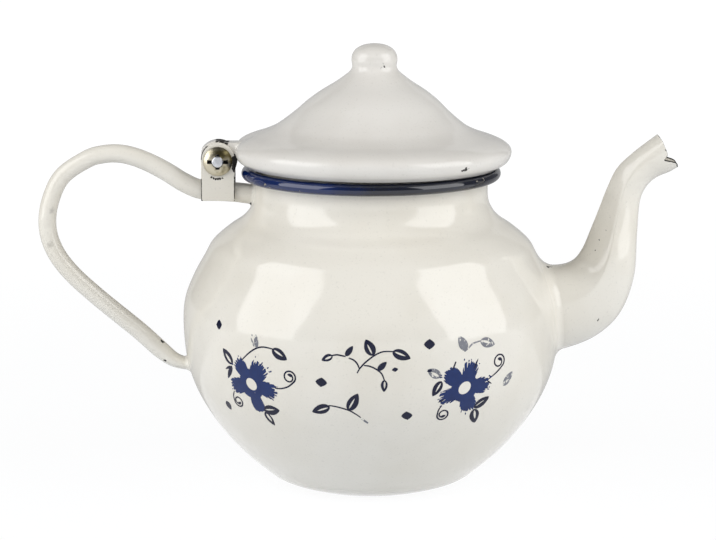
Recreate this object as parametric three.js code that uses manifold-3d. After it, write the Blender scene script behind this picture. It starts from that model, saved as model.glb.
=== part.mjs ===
// Enamel teapot: a round-bellied steel pot with a swan-neck spout, a rolled tube handle and a hinged lid.
// Lengths are millimetres. +Z is up and the table is at Z = 0. The pot's axis is X = Y = 0.
// The spout points to +X, the handle lies towards -X, and the near side is towards -Y.

import * as THREE from 'three';
import { mergeVertices } from 'three/addons/utils/BufferGeometryUtils.js';
import Module from 'manifold-3d';

const wasm = await Module();
wasm.setup();

// Fits and cutters
const seatGap = 0.3; // between two pieces that are welded, pressed or seated together
const cutOverrun = 6; // how far a cutter runs past what it cuts

// Pot
const baseRadius = 26; // flat foot
const bellyRadius = 68.5;
const bellyHeight = 60; // height of the widest place
const neckRadius = 42.5;
const mouthHeight = 114.2; // top of the mouth's turned-out flange
const neckDepth = 9.2; // the straight neck reaches this far below the mouth
const potWall = 1;
const seamDrop = 7; // the weld between bowl and shoulder runs this far below the widest place
const flangeReach = 2.4; // how far the mouth's flange turns out past the neck

// Rolled rim ring, hooked over the mouth's flange
const rimTubeRadius = 2.15;
const rimWall = 0.8;
const rimSlotAngle = 0.66; // half of the slot that the flange enters, in radians

// Strainer punched in the belly behind the spout
const strainerHoleRadius = 2.2;
const strainerPitch = 7.5;
const strainerRingCount = 6;

// Spout, two pressed halves joined on the plane Y = 0
const spoutFootHeight = 49; // lowest point of the root, on the belly
const spoutRise = 79.2; // from there up to the tip
const spoutReach = 42.8; // from the belly's widest circle out to the pouring lip
const spoutWall = 0.9;
const spoutRidgeShare = 0.16; // of half the spout's height, from its middle up to the ridge along each side
const mouthCut = 12; // height of the mouth's scalloped edge, tip to lip

// Handle, a strip rolled into a tube with its seam on the inside of the loop
const handleReach = 75.4; // from the neck out to the furthest point of the tube's centre line
const handleGap = 1.71; // between the rim ring and the handle's flared end under it
const handleArch = 15.2; // from the centre line's height at the neck up to its highest point
const handleFootHeight = 43.5; // centre line where it meets the belly
const handleFootRun = 10; // length of the pinched foot
const handleHalfWidth = 3.6; // across the loop
const handleHalfThickness = 3.25; // in the plane of the loop
const handleWall = 0.9;
const handleSeam = 1.4; // width of the open seam

// Lid, a pressed dome whose brim rolls under and rests on the rim ring
const lidRadius = 50.8;
const lidShift = 0.1; // the hinge holds the lid this far towards the spout
const crownRise = 36.3; // from the brim's lip up to the foot of the knob
const crownFootRadius = 7.9;
const crownLean = 1.1; // the crown leans this much towards the spout
const lidLipRadius = 46.2;
const lidWall = 1;
const brimClearance = 0.7; // between the hinge's ears and the brim, which is pressed in there
const brimDentAngle = 0.2; // half width of that dent, in radians

// Knob
const knobRadius = 8.3;
const knobHeight = 8.9;
const knobWall = 1.2;

// Collar that locates the lid in the mouth
const collarClearance = 1.6; // between the collar and the neck's bore
const collarDepth = 6.8; // below the lid's lip
const collarWall = 0.9;
const collarOverlap = 1; // how far the collar's flange reaches past the lid's lip

// Hinge
const hingeStandoff = 4.8; // from the lid's brim out to the pin's axis
const hingeRise = 3.1; // from the lid's lip up to the pin's axis
const pinRadius = 2;
const pinChamfer = 0.3;
const pinTail = 2.7; // how far the pin stands out of each ear
const earThickness = 1;
const earHalfWidth = 6.1;
const earTop = 6.8; // from the pin's axis up to the ear's top
const earLap = 1.5; // how far the ears reach down the handle's sides from its centre line
const lugRadius = 7.3;
const lugSheet = 0.9;
const lugBack = 6; // the cheeks are cut flat this far behind the pin
const tongueDrop = 0.8; // from the lug's top down to the tongue's upper edge
const tongueBottom = 1.6; // the tongue's lower edge, up from the pin's axis
const capRadius = 5.3;
const capRise = 1.6;
const capThickness = 0.6;
const capSlotWidth = 1.3;
const capSlotReach = 3.7;

// Facets
const latheSegments = 48;
const smallSegments = 20; // round the knob
const pinSegments = 16;
const drillSides = 10;
const arcSegments = 10; // along each arc of a flat piece
const capSteps = 5; // from a cap's edge to its hole
const sectionPoints = 16; // round the spout
const tubePoints = 9; // along each side of the handle's section
const spoutSteps = 18;
const handleSteps = 34;
const handleSettleCount = 4; // the first points of the handle's curve, which follow its height at the neck
const potSteps = 22; // along the pot's profile
const potInsideSteps = 14;
const lidSteps = 18; // along the lid's profile
const knobSteps = 8;
const ringSteps = 7; // round the rim ring's tube

// Outline tables, as shares chosen by hand.
// Lower belly: of the way out from base to belly, and of the belly's height.
const lowerBellyShares = [
  [0, 0], [0.2, 0.048], [0.34, 0.12], [0.532, 0.24], [0.717, 0.395], [0.876, 0.578], [0.967, 0.76], [1, 0.97],
];
// Shoulder: of the way out from neck to belly, and of the way up from the belly to the neck's foot.
const shoulderShares = [
  [0.98, 0.18], [0.86, 0.37], [0.69, 0.55], [0.585, 0.655], [0.38, 0.76], [0.18, 0.84], [0.06, 0.92],
  [0, 1.02],
];
// Lid, from the foot of the knob down to the brim: of its radius, and of the crown's rise.
const crownShares = [
  [0.19, 0.955], [0.27, 0.87], [0.38, 0.77], [0.47, 0.67], [0.545, 0.57], [0.625, 0.48], [0.7, 0.41],
  [0.8, 0.352],
];
const brimShares = [[0.9, 0.318], [0.966, 0.272], [0.998, 0.205], [0.997, 0.13], [0.972, 0.055]];
// Knob: of its radius, and of its height.
const knobShares = [[0.955, 0.1], [1, 0.32], [0.955, 0.56], [0.79, 0.79], [0.46, 0.95]];
// Spout edges, as pairs of points: of its reach from the belly, and of its rise from its foot.
const spoutTopShares = [
  [-0.2, 0.4], [-0.01, 0.396], [0.117, 0.418], [0.2, 0.473], [0.27, 0.563], [0.34, 0.66], [0.405, 0.754],
  [0.49, 0.848], [0.63, 0.922], [0.78, 0.984], [0.89, 1.027],
];
const spoutBellyShares = [
  [-0.2, -0.012], [0.08, 0.012], [0.34, 0.073], [0.535, 0.18], [0.645, 0.347], [0.666, 0.543], [0.685, 0.688],
  [0.733, 0.757], [0.818, 0.803], [0.945, 0.834], [1.06, 0.872],
];
// Half width over half height, along the spout.
const spoutWidthShares = [0.9, 0.88, 0.82, 0.78, 0.84, 0.9, 0.96, 0.98, 0.96, 0.94, 0.94];
// Exponent of the section above its ridges, along the spout: 1 is round, more is a flat pressed facet.
const spoutFacetPowers = [1, 1, 1.12, 1.3, 1.42, 1.45, 1.42, 1.36, 1.2, 1.05, 1];
const spoutTipShares = [0.83, 1]; // the tip, as above
// The mouth's edge down from the tip: out and down, both of mouthCut.
const mouthEdgeShares = [
  [0, 0], [0.11, 0.15], [0.19, 0.34], [0.255, 0.51], [0.24, 0.61], [0.185, 0.69], [0.37, 0.745], [0.53, 0.8],
  [0.6, 0.9], [0.62, 1.02],
];
// Handle: of its reach from the neck, and of the way up from its foot to its crown.
const handleShares = [
  [-0.02, 0.8], [0.09, 0.815], [0.18, 0.821], [0.265, 0.832], [0.342, 0.866], [0.419, 0.913], [0.496, 0.953],
  [0.574, 0.984], [0.651, 1], [0.73, 0.996], [0.806, 0.973],
  [0.925, 0.893], [0.985, 0.775], [1, 0.655], [0.968, 0.545], [0.89, 0.438], [0.757, 0.318], [0.564, 0.163],
];
// Pinched foot of the handle: of its run from the belly, and of the way up from the foot to the crown.
const handleFootShares = [[1, 0.064], [0.48, 0.018], [-0.12, 0]];
const handleFlareShare = 0.12; // of half the thickness, where the tube meets the neck
const handleFlareLengthShare = 0.4; // of the tube's length, over which it thins again
const handlePinchShare = 0.22; // of half the thickness, at the foot
const handleSpreadShare = 0.25; // of half the width, at the foot
const handlePinchLengthShare = 0.09; // of the tube's length, over which it is pinched

// Values that follow
const neckFootHeight = mouthHeight - neckDepth;
const seamHeight = bellyHeight - seamDrop;
const shoulderRise = neckFootHeight - bellyHeight;
const flangeUnderside = mouthHeight - potWall;
const rimRingRadius = neckRadius + seatGap + rimTubeRadius;
const rimRingHeight = mouthHeight - potWall / 2;
const handleFlare = handleHalfThickness * (1 + handleFlareShare);
const handleTopHeight = rimRingHeight - rimTubeRadius - handleGap - handleFlare;
const handleCrownHeight = handleTopHeight + handleArch;
const lidLipHeight = rimRingHeight + rimTubeRadius + seatGap;
const crownTop = lidLipHeight + crownRise;
const brimDent = earHalfWidth + brimClearance - hingeStandoff;
const pinX = lidShift - lidRadius - hingeStandoff;
const pinHeight = lidLipHeight + hingeRise;
const earInside = handleHalfWidth + seatGap;
const earOutside = earInside + earThickness;
const lugOutside = earInside - seatGap; // as wide as the handle
const boreRadius = pinRadius + seatGap;
const tongueTop = lugRadius - tongueDrop;

// Makes a closed indexed geometry that faces outwards, without repeated points or empty triangles.
function closed(geometry) {
  const bare = geometry.clone();
  bare.deleteAttribute('normal');
  bare.deleteAttribute('uv');
  const merged = mergeVertices(bare);
  const position = merged.getAttribute('position');
  const corners = [0, 1, 2].map(() => new THREE.Vector3());
  const kept = [];
  let volume = 0;
  for (let i = 0; i < merged.index.count; i += 3) {
    const face = [0, 1, 2].map((k) => merged.index.getX(i + k));
    if (face[0] === face[1] || face[1] === face[2] || face[2] === face[0]) continue;
    corners.forEach((corner, k) => corner.fromBufferAttribute(position, face[k]));
    volume += corners[0].dot(corners[1].clone().cross(corners[2]));
    kept.push(face);
  }
  merged.setIndex(kept.flatMap((face) => (volume < 0 ? [face[0], face[2], face[1]] : face)));
  return merged;
}

function toSolid(geometry) {
  const mesh = closed(geometry);
  return new wasm.Manifold(
    new wasm.Mesh({
      numProp: 3,
      vertProperties: new Float32Array(mesh.getAttribute('position').array),
      triVerts: new Uint32Array(mesh.index.array),
    }),
  );
}

function toGeometry(solid) {
  const mesh = solid.getMesh();
  const geometry = new THREE.BufferGeometry();
  geometry.setAttribute('position', new THREE.BufferAttribute(new Float32Array(mesh.vertProperties), 3));
  geometry.setIndex(new THREE.BufferAttribute(new Uint32Array(mesh.triVerts), 1));
  return geometry;
}

// Turns an outline of (radius, height) points about the Z axis.
function turned(outline, segments = latheSegments) {
  return new THREE.LatheGeometry(outline, segments).rotateX(Math.PI / 2);
}

function box(sizeX, sizeY, sizeZ, x, y, z) {
  return new THREE.BoxGeometry(sizeX, sizeY, sizeZ).translate(x, y, z);
}

// The outline moved sideways by a wall's thickness, to the left of its direction of travel.
function inset(outline, wall) {
  return outline.map((point, i) => {
    const before = outline[Math.max(i - 1, 0)];
    const after = outline[Math.min(i + 1, outline.length - 1)];
    const along = after.clone().sub(before).normalize();
    return new THREE.Vector2(Math.max(point.x - along.y * wall, 0), point.y + along.x * wall);
  });
}

// A tube through rings of points, which all have the section's count. Its two ends are filled.
function loft(rings, section) {
  const count = section.length;
  const faces = [];
  for (let i = 0; i + 1 < rings.length; i += 1) {
    for (let j = 0; j < count; j += 1) {
      const [a, b] = [i * count + j, i * count + ((j + 1) % count)];
      faces.push(a, b, a + count, b, b + count, a + count);
    }
  }
  const last = (rings.length - 1) * count;
  for (const [a, b, c] of THREE.ShapeUtils.triangulateShape(section, [])) {
    faces.push(a, c, b, last + a, last + b, last + c);
  }
  const geometry = new THREE.BufferGeometry();
  const values = rings.flat().flatMap((point) => point.toArray());
  geometry.setAttribute('position', new THREE.Float32BufferAttribute(values, 3));
  geometry.setIndex(faces);
  return closed(geometry);
}

// Outline drawn in the XZ plane and given a thickness along Y, from y towards +Y.
function plate(shape, y, thickness) {
  const settings = { depth: thickness, bevelEnabled: false, curveSegments: arcSegments };
  const geometry = new THREE.ExtrudeGeometry(shape, settings);
  return geometry.rotateX(Math.PI / 2).translate(0, y + thickness, 0);
}

function roundHole(x, z, radius) {
  const hole = new THREE.Path();
  hole.absarc(x, z, radius, 0, Math.PI * 2, true);
  return hole;
}

// Pot

function potCurve() {
  const overBase = bellyRadius - baseRadius;
  const overNeck = bellyRadius - neckRadius;
  const lower = lowerBellyShares.map(
    ([out, up]) => new THREE.Vector2(baseRadius + out * overBase, up * bellyHeight),
  );
  const shoulder = shoulderShares.map(
    ([out, up]) => new THREE.Vector2(neckRadius + out * overNeck, bellyHeight + up * shoulderRise),
  );
  return new THREE.SplineCurve([...lower, ...shoulder, new THREE.Vector2(neckRadius, flangeUnderside)]);
}

const potOuter = potCurve().getPoints(potSteps);
const potInner = inset(potCurve().getPoints(potInsideSteps), potWall);

function potRadiusAt(height) {
  const above = potOuter.findIndex((point) => point.y > height);
  const [low, high] = [potOuter[above - 1], potOuter[above]];
  return low.x + ((height - low.y) / (high.y - low.y)) * (high.x - low.x);
}

// The whole space that the pot takes up, grown by the seat gap, which cuts what is welded to its outside.
function potKeepOut() {
  const grown = potOuter.map((point) => new THREE.Vector2(point.x + seatGap, point.y));
  return toSolid(turned([new THREE.Vector2(0, 0), ...grown, new THREE.Vector2(0, flangeUnderside)]));
}

// The pot's whole wall, with its mouth and its strainer.
function bodyWall() {
  const outline = [
    new THREE.Vector2(0, 0),
    ...potOuter,
    new THREE.Vector2(neckRadius + flangeReach, flangeUnderside),
    new THREE.Vector2(neckRadius + flangeReach, mouthHeight),
    new THREE.Vector2(neckRadius - potWall, mouthHeight),
    ...potInner.slice(0, -1).reverse(),
    new THREE.Vector2(0, potWall),
  ];
  let shell = toSolid(turned(outline));
  const places = [[0, 0]];
  for (let i = 0; i < strainerRingCount; i += 1) {
    const angle = (i / strainerRingCount) * Math.PI * 2;
    places.push([Math.cos(angle) * strainerPitch, Math.sin(angle) * strainerPitch]);
  }
  const centreHeight = spoutFootHeight + (spoutTopShares[1][1] / 2) * spoutRise;
  for (const [y, z] of places) {
    const drill = new THREE.CylinderGeometry(strainerHoleRadius, strainerHoleRadius, bellyRadius, drillSides)
      .rotateZ(Math.PI / 2)
      .translate(bellyRadius, y, centreHeight + z);
    shell = shell.subtract(toSolid(drill));
  }
  return shell;
}

// The bowl is the wall below the weld, on side -1. The shoulder with the neck is above it, on side 1.
function bodyHalf(side) {
  const reach = (bellyRadius + cutOverrun) * 2;
  const otherSide = box(reach, reach, reach, 0, 0, seamHeight - (side * reach) / 2);
  return toGeometry(bodyWall().subtract(toSolid(otherSide)));
}

function rimRing() {
  const outline = [];
  const [from, to] = [Math.PI + rimSlotAngle, Math.PI * 3 - rimSlotAngle];
  for (let i = 0; i <= ringSteps; i += 1) {
    const angle = from + ((to - from) * i) / ringSteps;
    outline.push([rimTubeRadius, angle]);
  }
  for (let i = ringSteps; i >= 0; i -= 1) {
    const angle = from + ((to - from) * i) / ringSteps;
    outline.push([rimTubeRadius - rimWall, angle]);
  }
  outline.push(outline[0]);
  const centre = new THREE.Vector2(rimRingRadius, rimRingHeight);
  const origin = new THREE.Vector2(0, 0);
  const round = ([radius, angle]) => new THREE.Vector2(radius, 0).rotateAround(origin, angle).add(centre);
  return closed(turned(outline.map(round)));
}

// Spout

function spoutPoint([out, up]) {
  return new THREE.Vector2(bellyRadius + out * spoutReach, spoutFootHeight + up * spoutRise);
}

// Section of unit size: X towards the inner curve of the swan neck, Y sideways.
function spoutSection(power) {
  const section = [];
  for (let i = 0; i < sectionPoints; i += 1) {
    const angle = (i / sectionPoints) * Math.PI * 2;
    const [up, side] = [Math.cos(angle), Math.sin(angle)];
    const facet = (value) => Math.sign(value) * Math.abs(value) ** power;
    section.push(
      up > 0
        ? new THREE.Vector2(spoutRidgeShare + (1 - spoutRidgeShare) * facet(up), facet(side))
        : new THREE.Vector2(spoutRidgeShare + (1 + spoutRidgeShare) * up, side),
    );
  }
  return section;
}

function alongSpout(values) {
  return new THREE.SplineCurve(values.map((value, i) => new THREE.Vector2(i, value)));
}

function spoutTube(wall) {
  const top = new THREE.SplineCurve(spoutTopShares.map(spoutPoint));
  const belly = new THREE.SplineCurve(spoutBellyShares.map(spoutPoint));
  const width = alongSpout(spoutWidthShares);
  const power = alongSpout(spoutFacetPowers);
  const rings = [];
  for (let i = 0; i <= spoutSteps; i += 1) {
    const share = i / spoutSteps;
    const [high, low] = [top.getPoint(share), belly.getPoint(share)];
    const centre = high.clone().add(low).divideScalar(2);
    const up = high.clone().sub(centre);
    const half = up.length();
    up.normalize();
    rings.push(
      spoutSection(power.getPoint(share).y).map(({ x, y }) => {
        const rise = (half - wall) * x;
        const side = (half * width.getPoint(share).y - wall) * y;
        return new THREE.Vector3(centre.x + up.x * rise, side, centre.y + up.y * rise);
      }),
    );
  }
  return toSolid(loft(rings, spoutSection(1)));
}

// Everything beyond the mouth's scalloped edge.
function mouthCutter() {
  const tip = spoutPoint(spoutTipShares);
  const edge = mouthEdgeShares.map(
    ([out, down]) => new THREE.Vector2(tip.x + out * mouthCut, tip.y - down * mouthCut),
  );
  const far = tip.x + mouthCut + cutOverrun;
  const shape = new THREE.Shape([
    new THREE.Vector2(tip.x - cutOverrun / 2, tip.y + cutOverrun),
    ...edge,
    new THREE.Vector2(edge.at(-1).x, tip.y - mouthCut - cutOverrun),
    new THREE.Vector2(far, tip.y - mouthCut - cutOverrun),
    new THREE.Vector2(far, tip.y + cutOverrun),
  ]);
  return toSolid(plate(shape, -bellyRadius, bellyRadius * 2));
}

function spoutHalf(side) {
  const shell = spoutTube(0).subtract(spoutTube(spoutWall)).subtract(potKeepOut()).subtract(mouthCutter());
  const reach = (bellyRadius + spoutReach + cutOverrun) * 2;
  const otherSide = box(reach, reach, reach, 0, (-side * reach) / 2, spoutFootHeight);
  return toGeometry(shell.subtract(toSolid(otherSide)));
}

// Handle

function handleTube() {
  const rise = handleCrownHeight - handleFootHeight;
  const footX = potRadiusAt(handleFootHeight);
  const start = (handleTopHeight - handleFootHeight) / rise - handleShares[0][1];
  const points = handleShares.map(([out, up], i) => {
    const settle = Math.max(0, 1 - i / handleSettleCount);
    const height = handleFootHeight + (up + start * settle) * rise;
    return new THREE.Vector2(-neckRadius - out * handleReach, height);
  });
  const foot = handleFootShares.map(
    ([out, up]) => new THREE.Vector2(-footX - out * handleFootRun, handleFootHeight + up * rise),
  );
  const path = new THREE.SplineCurve([...points, ...foot]);
  const seamAngle = Math.asin(handleSeam / 2 / handleHalfWidth);
  const angles = [];
  for (let i = 0; i < tubePoints; i += 1) {
    angles.push(seamAngle + ((Math.PI - seamAngle) * 2 * i) / (tubePoints - 1));
  }
  const sectionAt = (width, thickness) => {
    const outer = angles.map((a) => new THREE.Vector2(width * Math.sin(a), -thickness * Math.cos(a)));
    const inner = angles.map(
      (a) => new THREE.Vector2((width - handleWall) * Math.sin(a), -(thickness - handleWall) * Math.cos(a)),
    );
    return [...outer, ...inner.reverse()];
  };
  const rings = [];
  for (let i = 0; i <= handleSteps; i += 1) {
    const share = i / handleSteps;
    const centre = path.getPointAt(share);
    const along = path.getTangentAt(share);
    const flare = Math.max(0, 1 - share / handleFlareLengthShare);
    const pinch = THREE.MathUtils.smoothstep(share, 1 - handlePinchLengthShare, 1);
    const thickness = handleHalfThickness * (1 + flare * handleFlareShare - pinch * handlePinchShare);
    const width = handleHalfWidth * (1 + pinch * handleSpreadShare);
    rings.push(
      sectionAt(width, thickness).map(
        ({ x, y }) => new THREE.Vector3(centre.x + along.y * y, x, centre.y - along.x * y),
      ),
    );
  }
  const tube = loft(rings, sectionAt(handleHalfWidth, handleHalfThickness));
  return toGeometry(toSolid(tube).subtract(potKeepOut()));
}

// Hinge

function hingeEar(side) {
  const shape = new THREE.Shape();
  const roundHeight = pinHeight + earTop - earHalfWidth;
  shape.moveTo(pinX - earHalfWidth, handleTopHeight - earLap);
  shape.lineTo(pinX + earHalfWidth, handleTopHeight - earLap);
  shape.lineTo(pinX + earHalfWidth, roundHeight);
  shape.absarc(pinX, roundHeight, earHalfWidth, 0, Math.PI, false);
  shape.closePath();
  shape.holes.push(roundHole(pinX, pinHeight, boreRadius));
  return closed(plate(shape, side > 0 ? earInside : -earOutside, earThickness));
}

function hingePin() {
  const half = earOutside + pinTail;
  const outline = [
    new THREE.Vector2(0, -half),
    new THREE.Vector2(pinRadius - pinChamfer, -half),
    new THREE.Vector2(pinRadius, pinChamfer - half),
    new THREE.Vector2(pinRadius, half - pinChamfer),
    new THREE.Vector2(pinRadius - pinChamfer, half),
    new THREE.Vector2(0, half),
  ];
  return closed(new THREE.LatheGeometry(outline, pinSegments).translate(pinX, 0, pinHeight));
}

// Domed push-on cap with a slotted hole that grips the pin's end.
function pinCap(side) {
  const upper = [];
  const under = [];
  for (let i = 0; i <= capSteps; i += 1) {
    const radius = capRadius + ((boreRadius - capRadius) * i) / capSteps;
    const height = capRise * Math.sin((Math.PI / 2) * (i / capSteps));
    upper.push(new THREE.Vector2(radius, height + capThickness));
    under.push(new THREE.Vector2(radius, height));
  }
  const dome = new THREE.LatheGeometry([...upper, ...under.reverse(), upper[0]], pinSegments);
  const slotHeight = (capRise + capThickness) * 2 + cutOverrun;
  const cross = [
    box(capSlotReach * 2, slotHeight, capSlotWidth, 0, 0, 0),
    box(capSlotWidth, slotHeight, capSlotReach * 2, 0, 0, 0),
  ];
  const slotted = cross.reduce((solid, bar) => solid.subtract(toSolid(bar)), toSolid(dome));
  const geometry = toGeometry(slotted);
  if (side < 0) geometry.rotateX(Math.PI);
  return geometry.translate(pinX, side * (earOutside + seatGap), pinHeight);
}

// Lid

function lidPoint([out, up]) {
  return new THREE.Vector2(out * lidRadius, lidLipHeight + up * crownRise);
}

const lidOuter = new THREE.SplineCurve([
  new THREE.Vector2(crownFootRadius, crownTop),
  ...crownShares.map(lidPoint),
  ...brimShares.map(lidPoint),
  new THREE.Vector2(lidLipRadius, lidLipHeight),
]).getPoints(lidSteps);

// Moves a turned lid piece to its place: off centre, leaning at the crown and pressed in at the hinge.
function settled(geometry) {
  const position = geometry.getAttribute('position');
  const point = new THREE.Vector3();
  for (let i = 0; i < position.count; i += 1) {
    point.fromBufferAttribute(position, i);
    const leanStart = lidLipHeight + crownRise * brimShares[0][1];
    const lean = crownLean * THREE.MathUtils.smoothstep(point.z, leanStart, crownTop);
    const angle = Math.atan2(point.y, -point.x);
    const brimStart = lidRadius * crownShares.at(-1)[0];
    const onBrim = THREE.MathUtils.smoothstep(Math.hypot(point.x, point.y), brimStart, lidLipRadius);
    const dent = brimDent * onBrim * Math.exp(-((angle / brimDentAngle) ** 2));
    position.setX(i, point.x + lidShift + lean + dent);
  }
  return geometry;
}

const lidInner = inset(lidOuter, -lidWall);
lidInner[0].y = crownTop;

function lidShell() {
  return closed(settled(turned([...lidOuter, ...lidInner.toReversed(), lidOuter[0]])));
}

// The whole space under the lid's outside, grown by the seat gap.
function lidKeepOut() {
  const grown = inset(lidOuter, seatGap);
  return toSolid(
    settled(
      turned([
        new THREE.Vector2(0, crownTop + seatGap),
        new THREE.Vector2(crownFootRadius, crownTop + seatGap),
        ...grown.slice(1),
        new THREE.Vector2(0, grown.at(-1).y),
      ]),
    ),
  );
}

function lidKnob() {
  const foot = crownTop + seatGap;
  const outer = new THREE.SplineCurve([
    new THREE.Vector2(crownFootRadius, foot),
    ...knobShares.map(([out, up]) => new THREE.Vector2(out * knobRadius, foot + up * knobHeight)),
    new THREE.Vector2(0, foot + knobHeight),
  ]).getPoints(knobSteps);
  const inner = inset(outer, knobWall);
  inner[0].y = foot;
  inner.at(-1).x = 0;
  const knob = turned([...inner.toReversed(), ...outer], smallSegments);
  return closed(knob.translate(lidShift + crownLean, 0, 0));
}

function lidCollar() {
  const outside = neckRadius - potWall - collarClearance;
  const inside = outside - collarWall;
  const edge = lidLipRadius + collarOverlap;
  const rolled = lidInner.findLastIndex((point) => point.x > edge);
  const [above, below] = [lidInner[rolled], lidInner[rolled + 1]];
  const across = (edge - below.x) / (above.x - below.x);
  const under = below.y + across * (above.y - below.y) + seatGap;
  const outline = [
    new THREE.Vector2(inside, lidLipHeight - collarDepth),
    new THREE.Vector2(outside, lidLipHeight - collarDepth),
    new THREE.Vector2(outside, under),
    new THREE.Vector2(edge, under),
    new THREE.Vector2(edge, under + collarWall),
    new THREE.Vector2(inside, under + collarWall),
  ];
  return closed(settled(turned([...outline, outline[0]])));
}

// Two cheeks round the pin, joined by a web over the top. They run on as a tongue that ends on the brim.
function lidHingeLug() {
  const reach = pinX + hingeStandoff + brimDent + cutOverrun;
  const back = Math.acos(lugBack / lugRadius);
  const upper = Math.asin(tongueTop / lugRadius);
  const lower = Math.asin(tongueBottom / lugRadius);
  const inner = Math.asin((tongueTop - lugSheet) / (lugRadius - lugSheet));
  const cheekShape = new THREE.Shape();
  cheekShape.absarc(pinX, pinHeight, lugRadius, upper, Math.PI - back, false);
  cheekShape.absarc(pinX, pinHeight, lugRadius, Math.PI + back, Math.PI * 2 + lower, false);
  cheekShape.lineTo(reach, pinHeight + tongueBottom);
  cheekShape.lineTo(reach, pinHeight + tongueTop);
  cheekShape.closePath();
  cheekShape.holes.push(roundHole(pinX, pinHeight, boreRadius));
  const web = new THREE.Shape();
  web.moveTo(reach, pinHeight + tongueTop);
  web.absarc(pinX, pinHeight, lugRadius, upper, Math.PI - back, false);
  web.absarc(pinX, pinHeight, lugRadius - lugSheet, Math.PI - back, inner, true);
  web.lineTo(reach, pinHeight + tongueTop - lugSheet);
  web.closePath();
  const cheek = (y) => toSolid(plate(cheekShape, y, lugSheet));
  return toGeometry(
    cheek(lugOutside - lugSheet)
      .add(cheek(-lugOutside))
      .add(toSolid(plate(web, -lugOutside, lugOutside * 2)))
      .subtract(lidKeepOut()),
  );
}

// Finishes
const cream = new THREE.MeshStandardMaterial({ color: 0xe9e5da, roughness: 0.16, metalness: 0 });
const blue = new THREE.MeshStandardMaterial({ color: 0x1c2c66, roughness: 0.14, metalness: 0 });
const steel = new THREE.MeshStandardMaterial({ color: 0xd3d6da, roughness: 0.3, metalness: 1 });
const nickel = new THREE.MeshStandardMaterial({ color: 0xb9a87c, roughness: 0.34, metalness: 1 });

function piece(name, geometry, material) {
  const mesh = new THREE.Mesh(geometry, material);
  mesh.name = name;
  return mesh;
}

const pot = new THREE.Group();
pot.add(
  piece('body_bowl', bodyHalf(-1), cream),
  piece('body_shoulder', bodyHalf(1), cream),
  piece('rim_ring', rimRing(), blue),
  piece('spout_near_half', spoutHalf(-1), cream),
  piece('spout_far_half', spoutHalf(1), cream),
  piece('handle_tube', handleTube(), cream),
  piece('hinge_ear_near', hingeEar(-1), cream),
  piece('hinge_ear_far', hingeEar(1), cream),
  piece('hinge_pin', hingePin(), steel),
  piece('pin_cap_near', pinCap(-1), nickel),
  piece('pin_cap_far', pinCap(1), nickel),
);

const lid = new THREE.Group();
lid.add(
  piece('lid_shell', lidShell(), cream),
  piece('lid_knob', lidKnob(), cream),
  piece('lid_collar', lidCollar(), cream),
  piece('lid_hinge_lug', lidHingeLug(), cream),
);

const teapot = new THREE.Group();
teapot.add(pot, lid);

export default teapot;
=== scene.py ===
import logging
import random
from bisect import bisect_right
from dataclasses import dataclass, field, replace
from enum import Enum
from functools import partial
from math import acos, asin, atan2, copysign, cos, degrees, exp, hypot, pi, radians, sin, sqrt, tau
from typing import Callable, Sequence

import bmesh
import bpy
from mathutils import Matrix, Vector


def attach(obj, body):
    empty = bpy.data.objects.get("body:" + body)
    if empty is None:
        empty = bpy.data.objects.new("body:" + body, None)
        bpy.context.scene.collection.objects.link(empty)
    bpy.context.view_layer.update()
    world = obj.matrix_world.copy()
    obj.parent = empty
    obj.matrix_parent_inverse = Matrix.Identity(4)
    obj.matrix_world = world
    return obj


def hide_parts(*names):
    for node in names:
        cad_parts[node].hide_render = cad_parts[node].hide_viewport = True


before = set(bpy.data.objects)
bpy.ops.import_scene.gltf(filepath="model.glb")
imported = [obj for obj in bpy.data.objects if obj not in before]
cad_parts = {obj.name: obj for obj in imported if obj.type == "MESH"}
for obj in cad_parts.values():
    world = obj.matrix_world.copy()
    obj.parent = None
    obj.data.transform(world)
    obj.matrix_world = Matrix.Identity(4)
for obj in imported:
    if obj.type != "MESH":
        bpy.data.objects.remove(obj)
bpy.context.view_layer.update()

MM = 0.001  # sizes below are millimetres, and Blender's are metres
WELD = 0.004  # points closer than this are one point
CREASE = radians(38)  # a fold sharper than this keeps its edge in the shading
LOG = logging.getLogger("teapot")

Pair = tuple[float, float]
Triple = tuple[float, float, float]
Ring = list[Vector]
BMesh = bmesh.types.BMesh
Material = bpy.types.Material
NodeTree = bpy.types.NodeTree
Socket = bpy.types.NodeSocket


class Body(Enum):
    """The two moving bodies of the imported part."""

    POT = "pot"
    LID = "lid"


class Slot(Enum):
    """The record's material slots."""

    POT = "pot_enamel"
    LID = "lid_enamel"
    RIM = "rim_enamel"
    PIN = "pin_steel"
    CAP = "cap_metal"


class Side(Enum):
    """The near side, which faces the camera, and the far side."""

    NEAR = -1
    FAR = 1


def smoothstep(value: float, low: float, high: float) -> float:
    """Eases from 0 to 1 as a value goes from low to high."""
    share = min(max((value - low) / (high - low), 0.0), 1.0)
    return share * share * (3 - 2 * share)


def within(value: float, span: Sequence[float]) -> float:
    """Gives 1 inside a span that fades in between its first two values and out between its last two."""
    return smoothstep(value, span[0], span[1]) * smoothstep(value, span[3], span[2])


def crossing(outside: Callable[[float], float], low: float, high: float) -> float:
    """Finds where a function changes sign, by halving.

    Args:
        outside: A function that is below 0 at low and above 0 at high.
        low: One end of the search.
        high: The other end of the search.

    Returns:
        The value between them where the function is 0.
    """
    for _ in range(26):
        middle = (low + high) / 2
        if outside(middle) < 0:
            low = middle
        else:
            high = middle
    return (low + high) / 2


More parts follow.
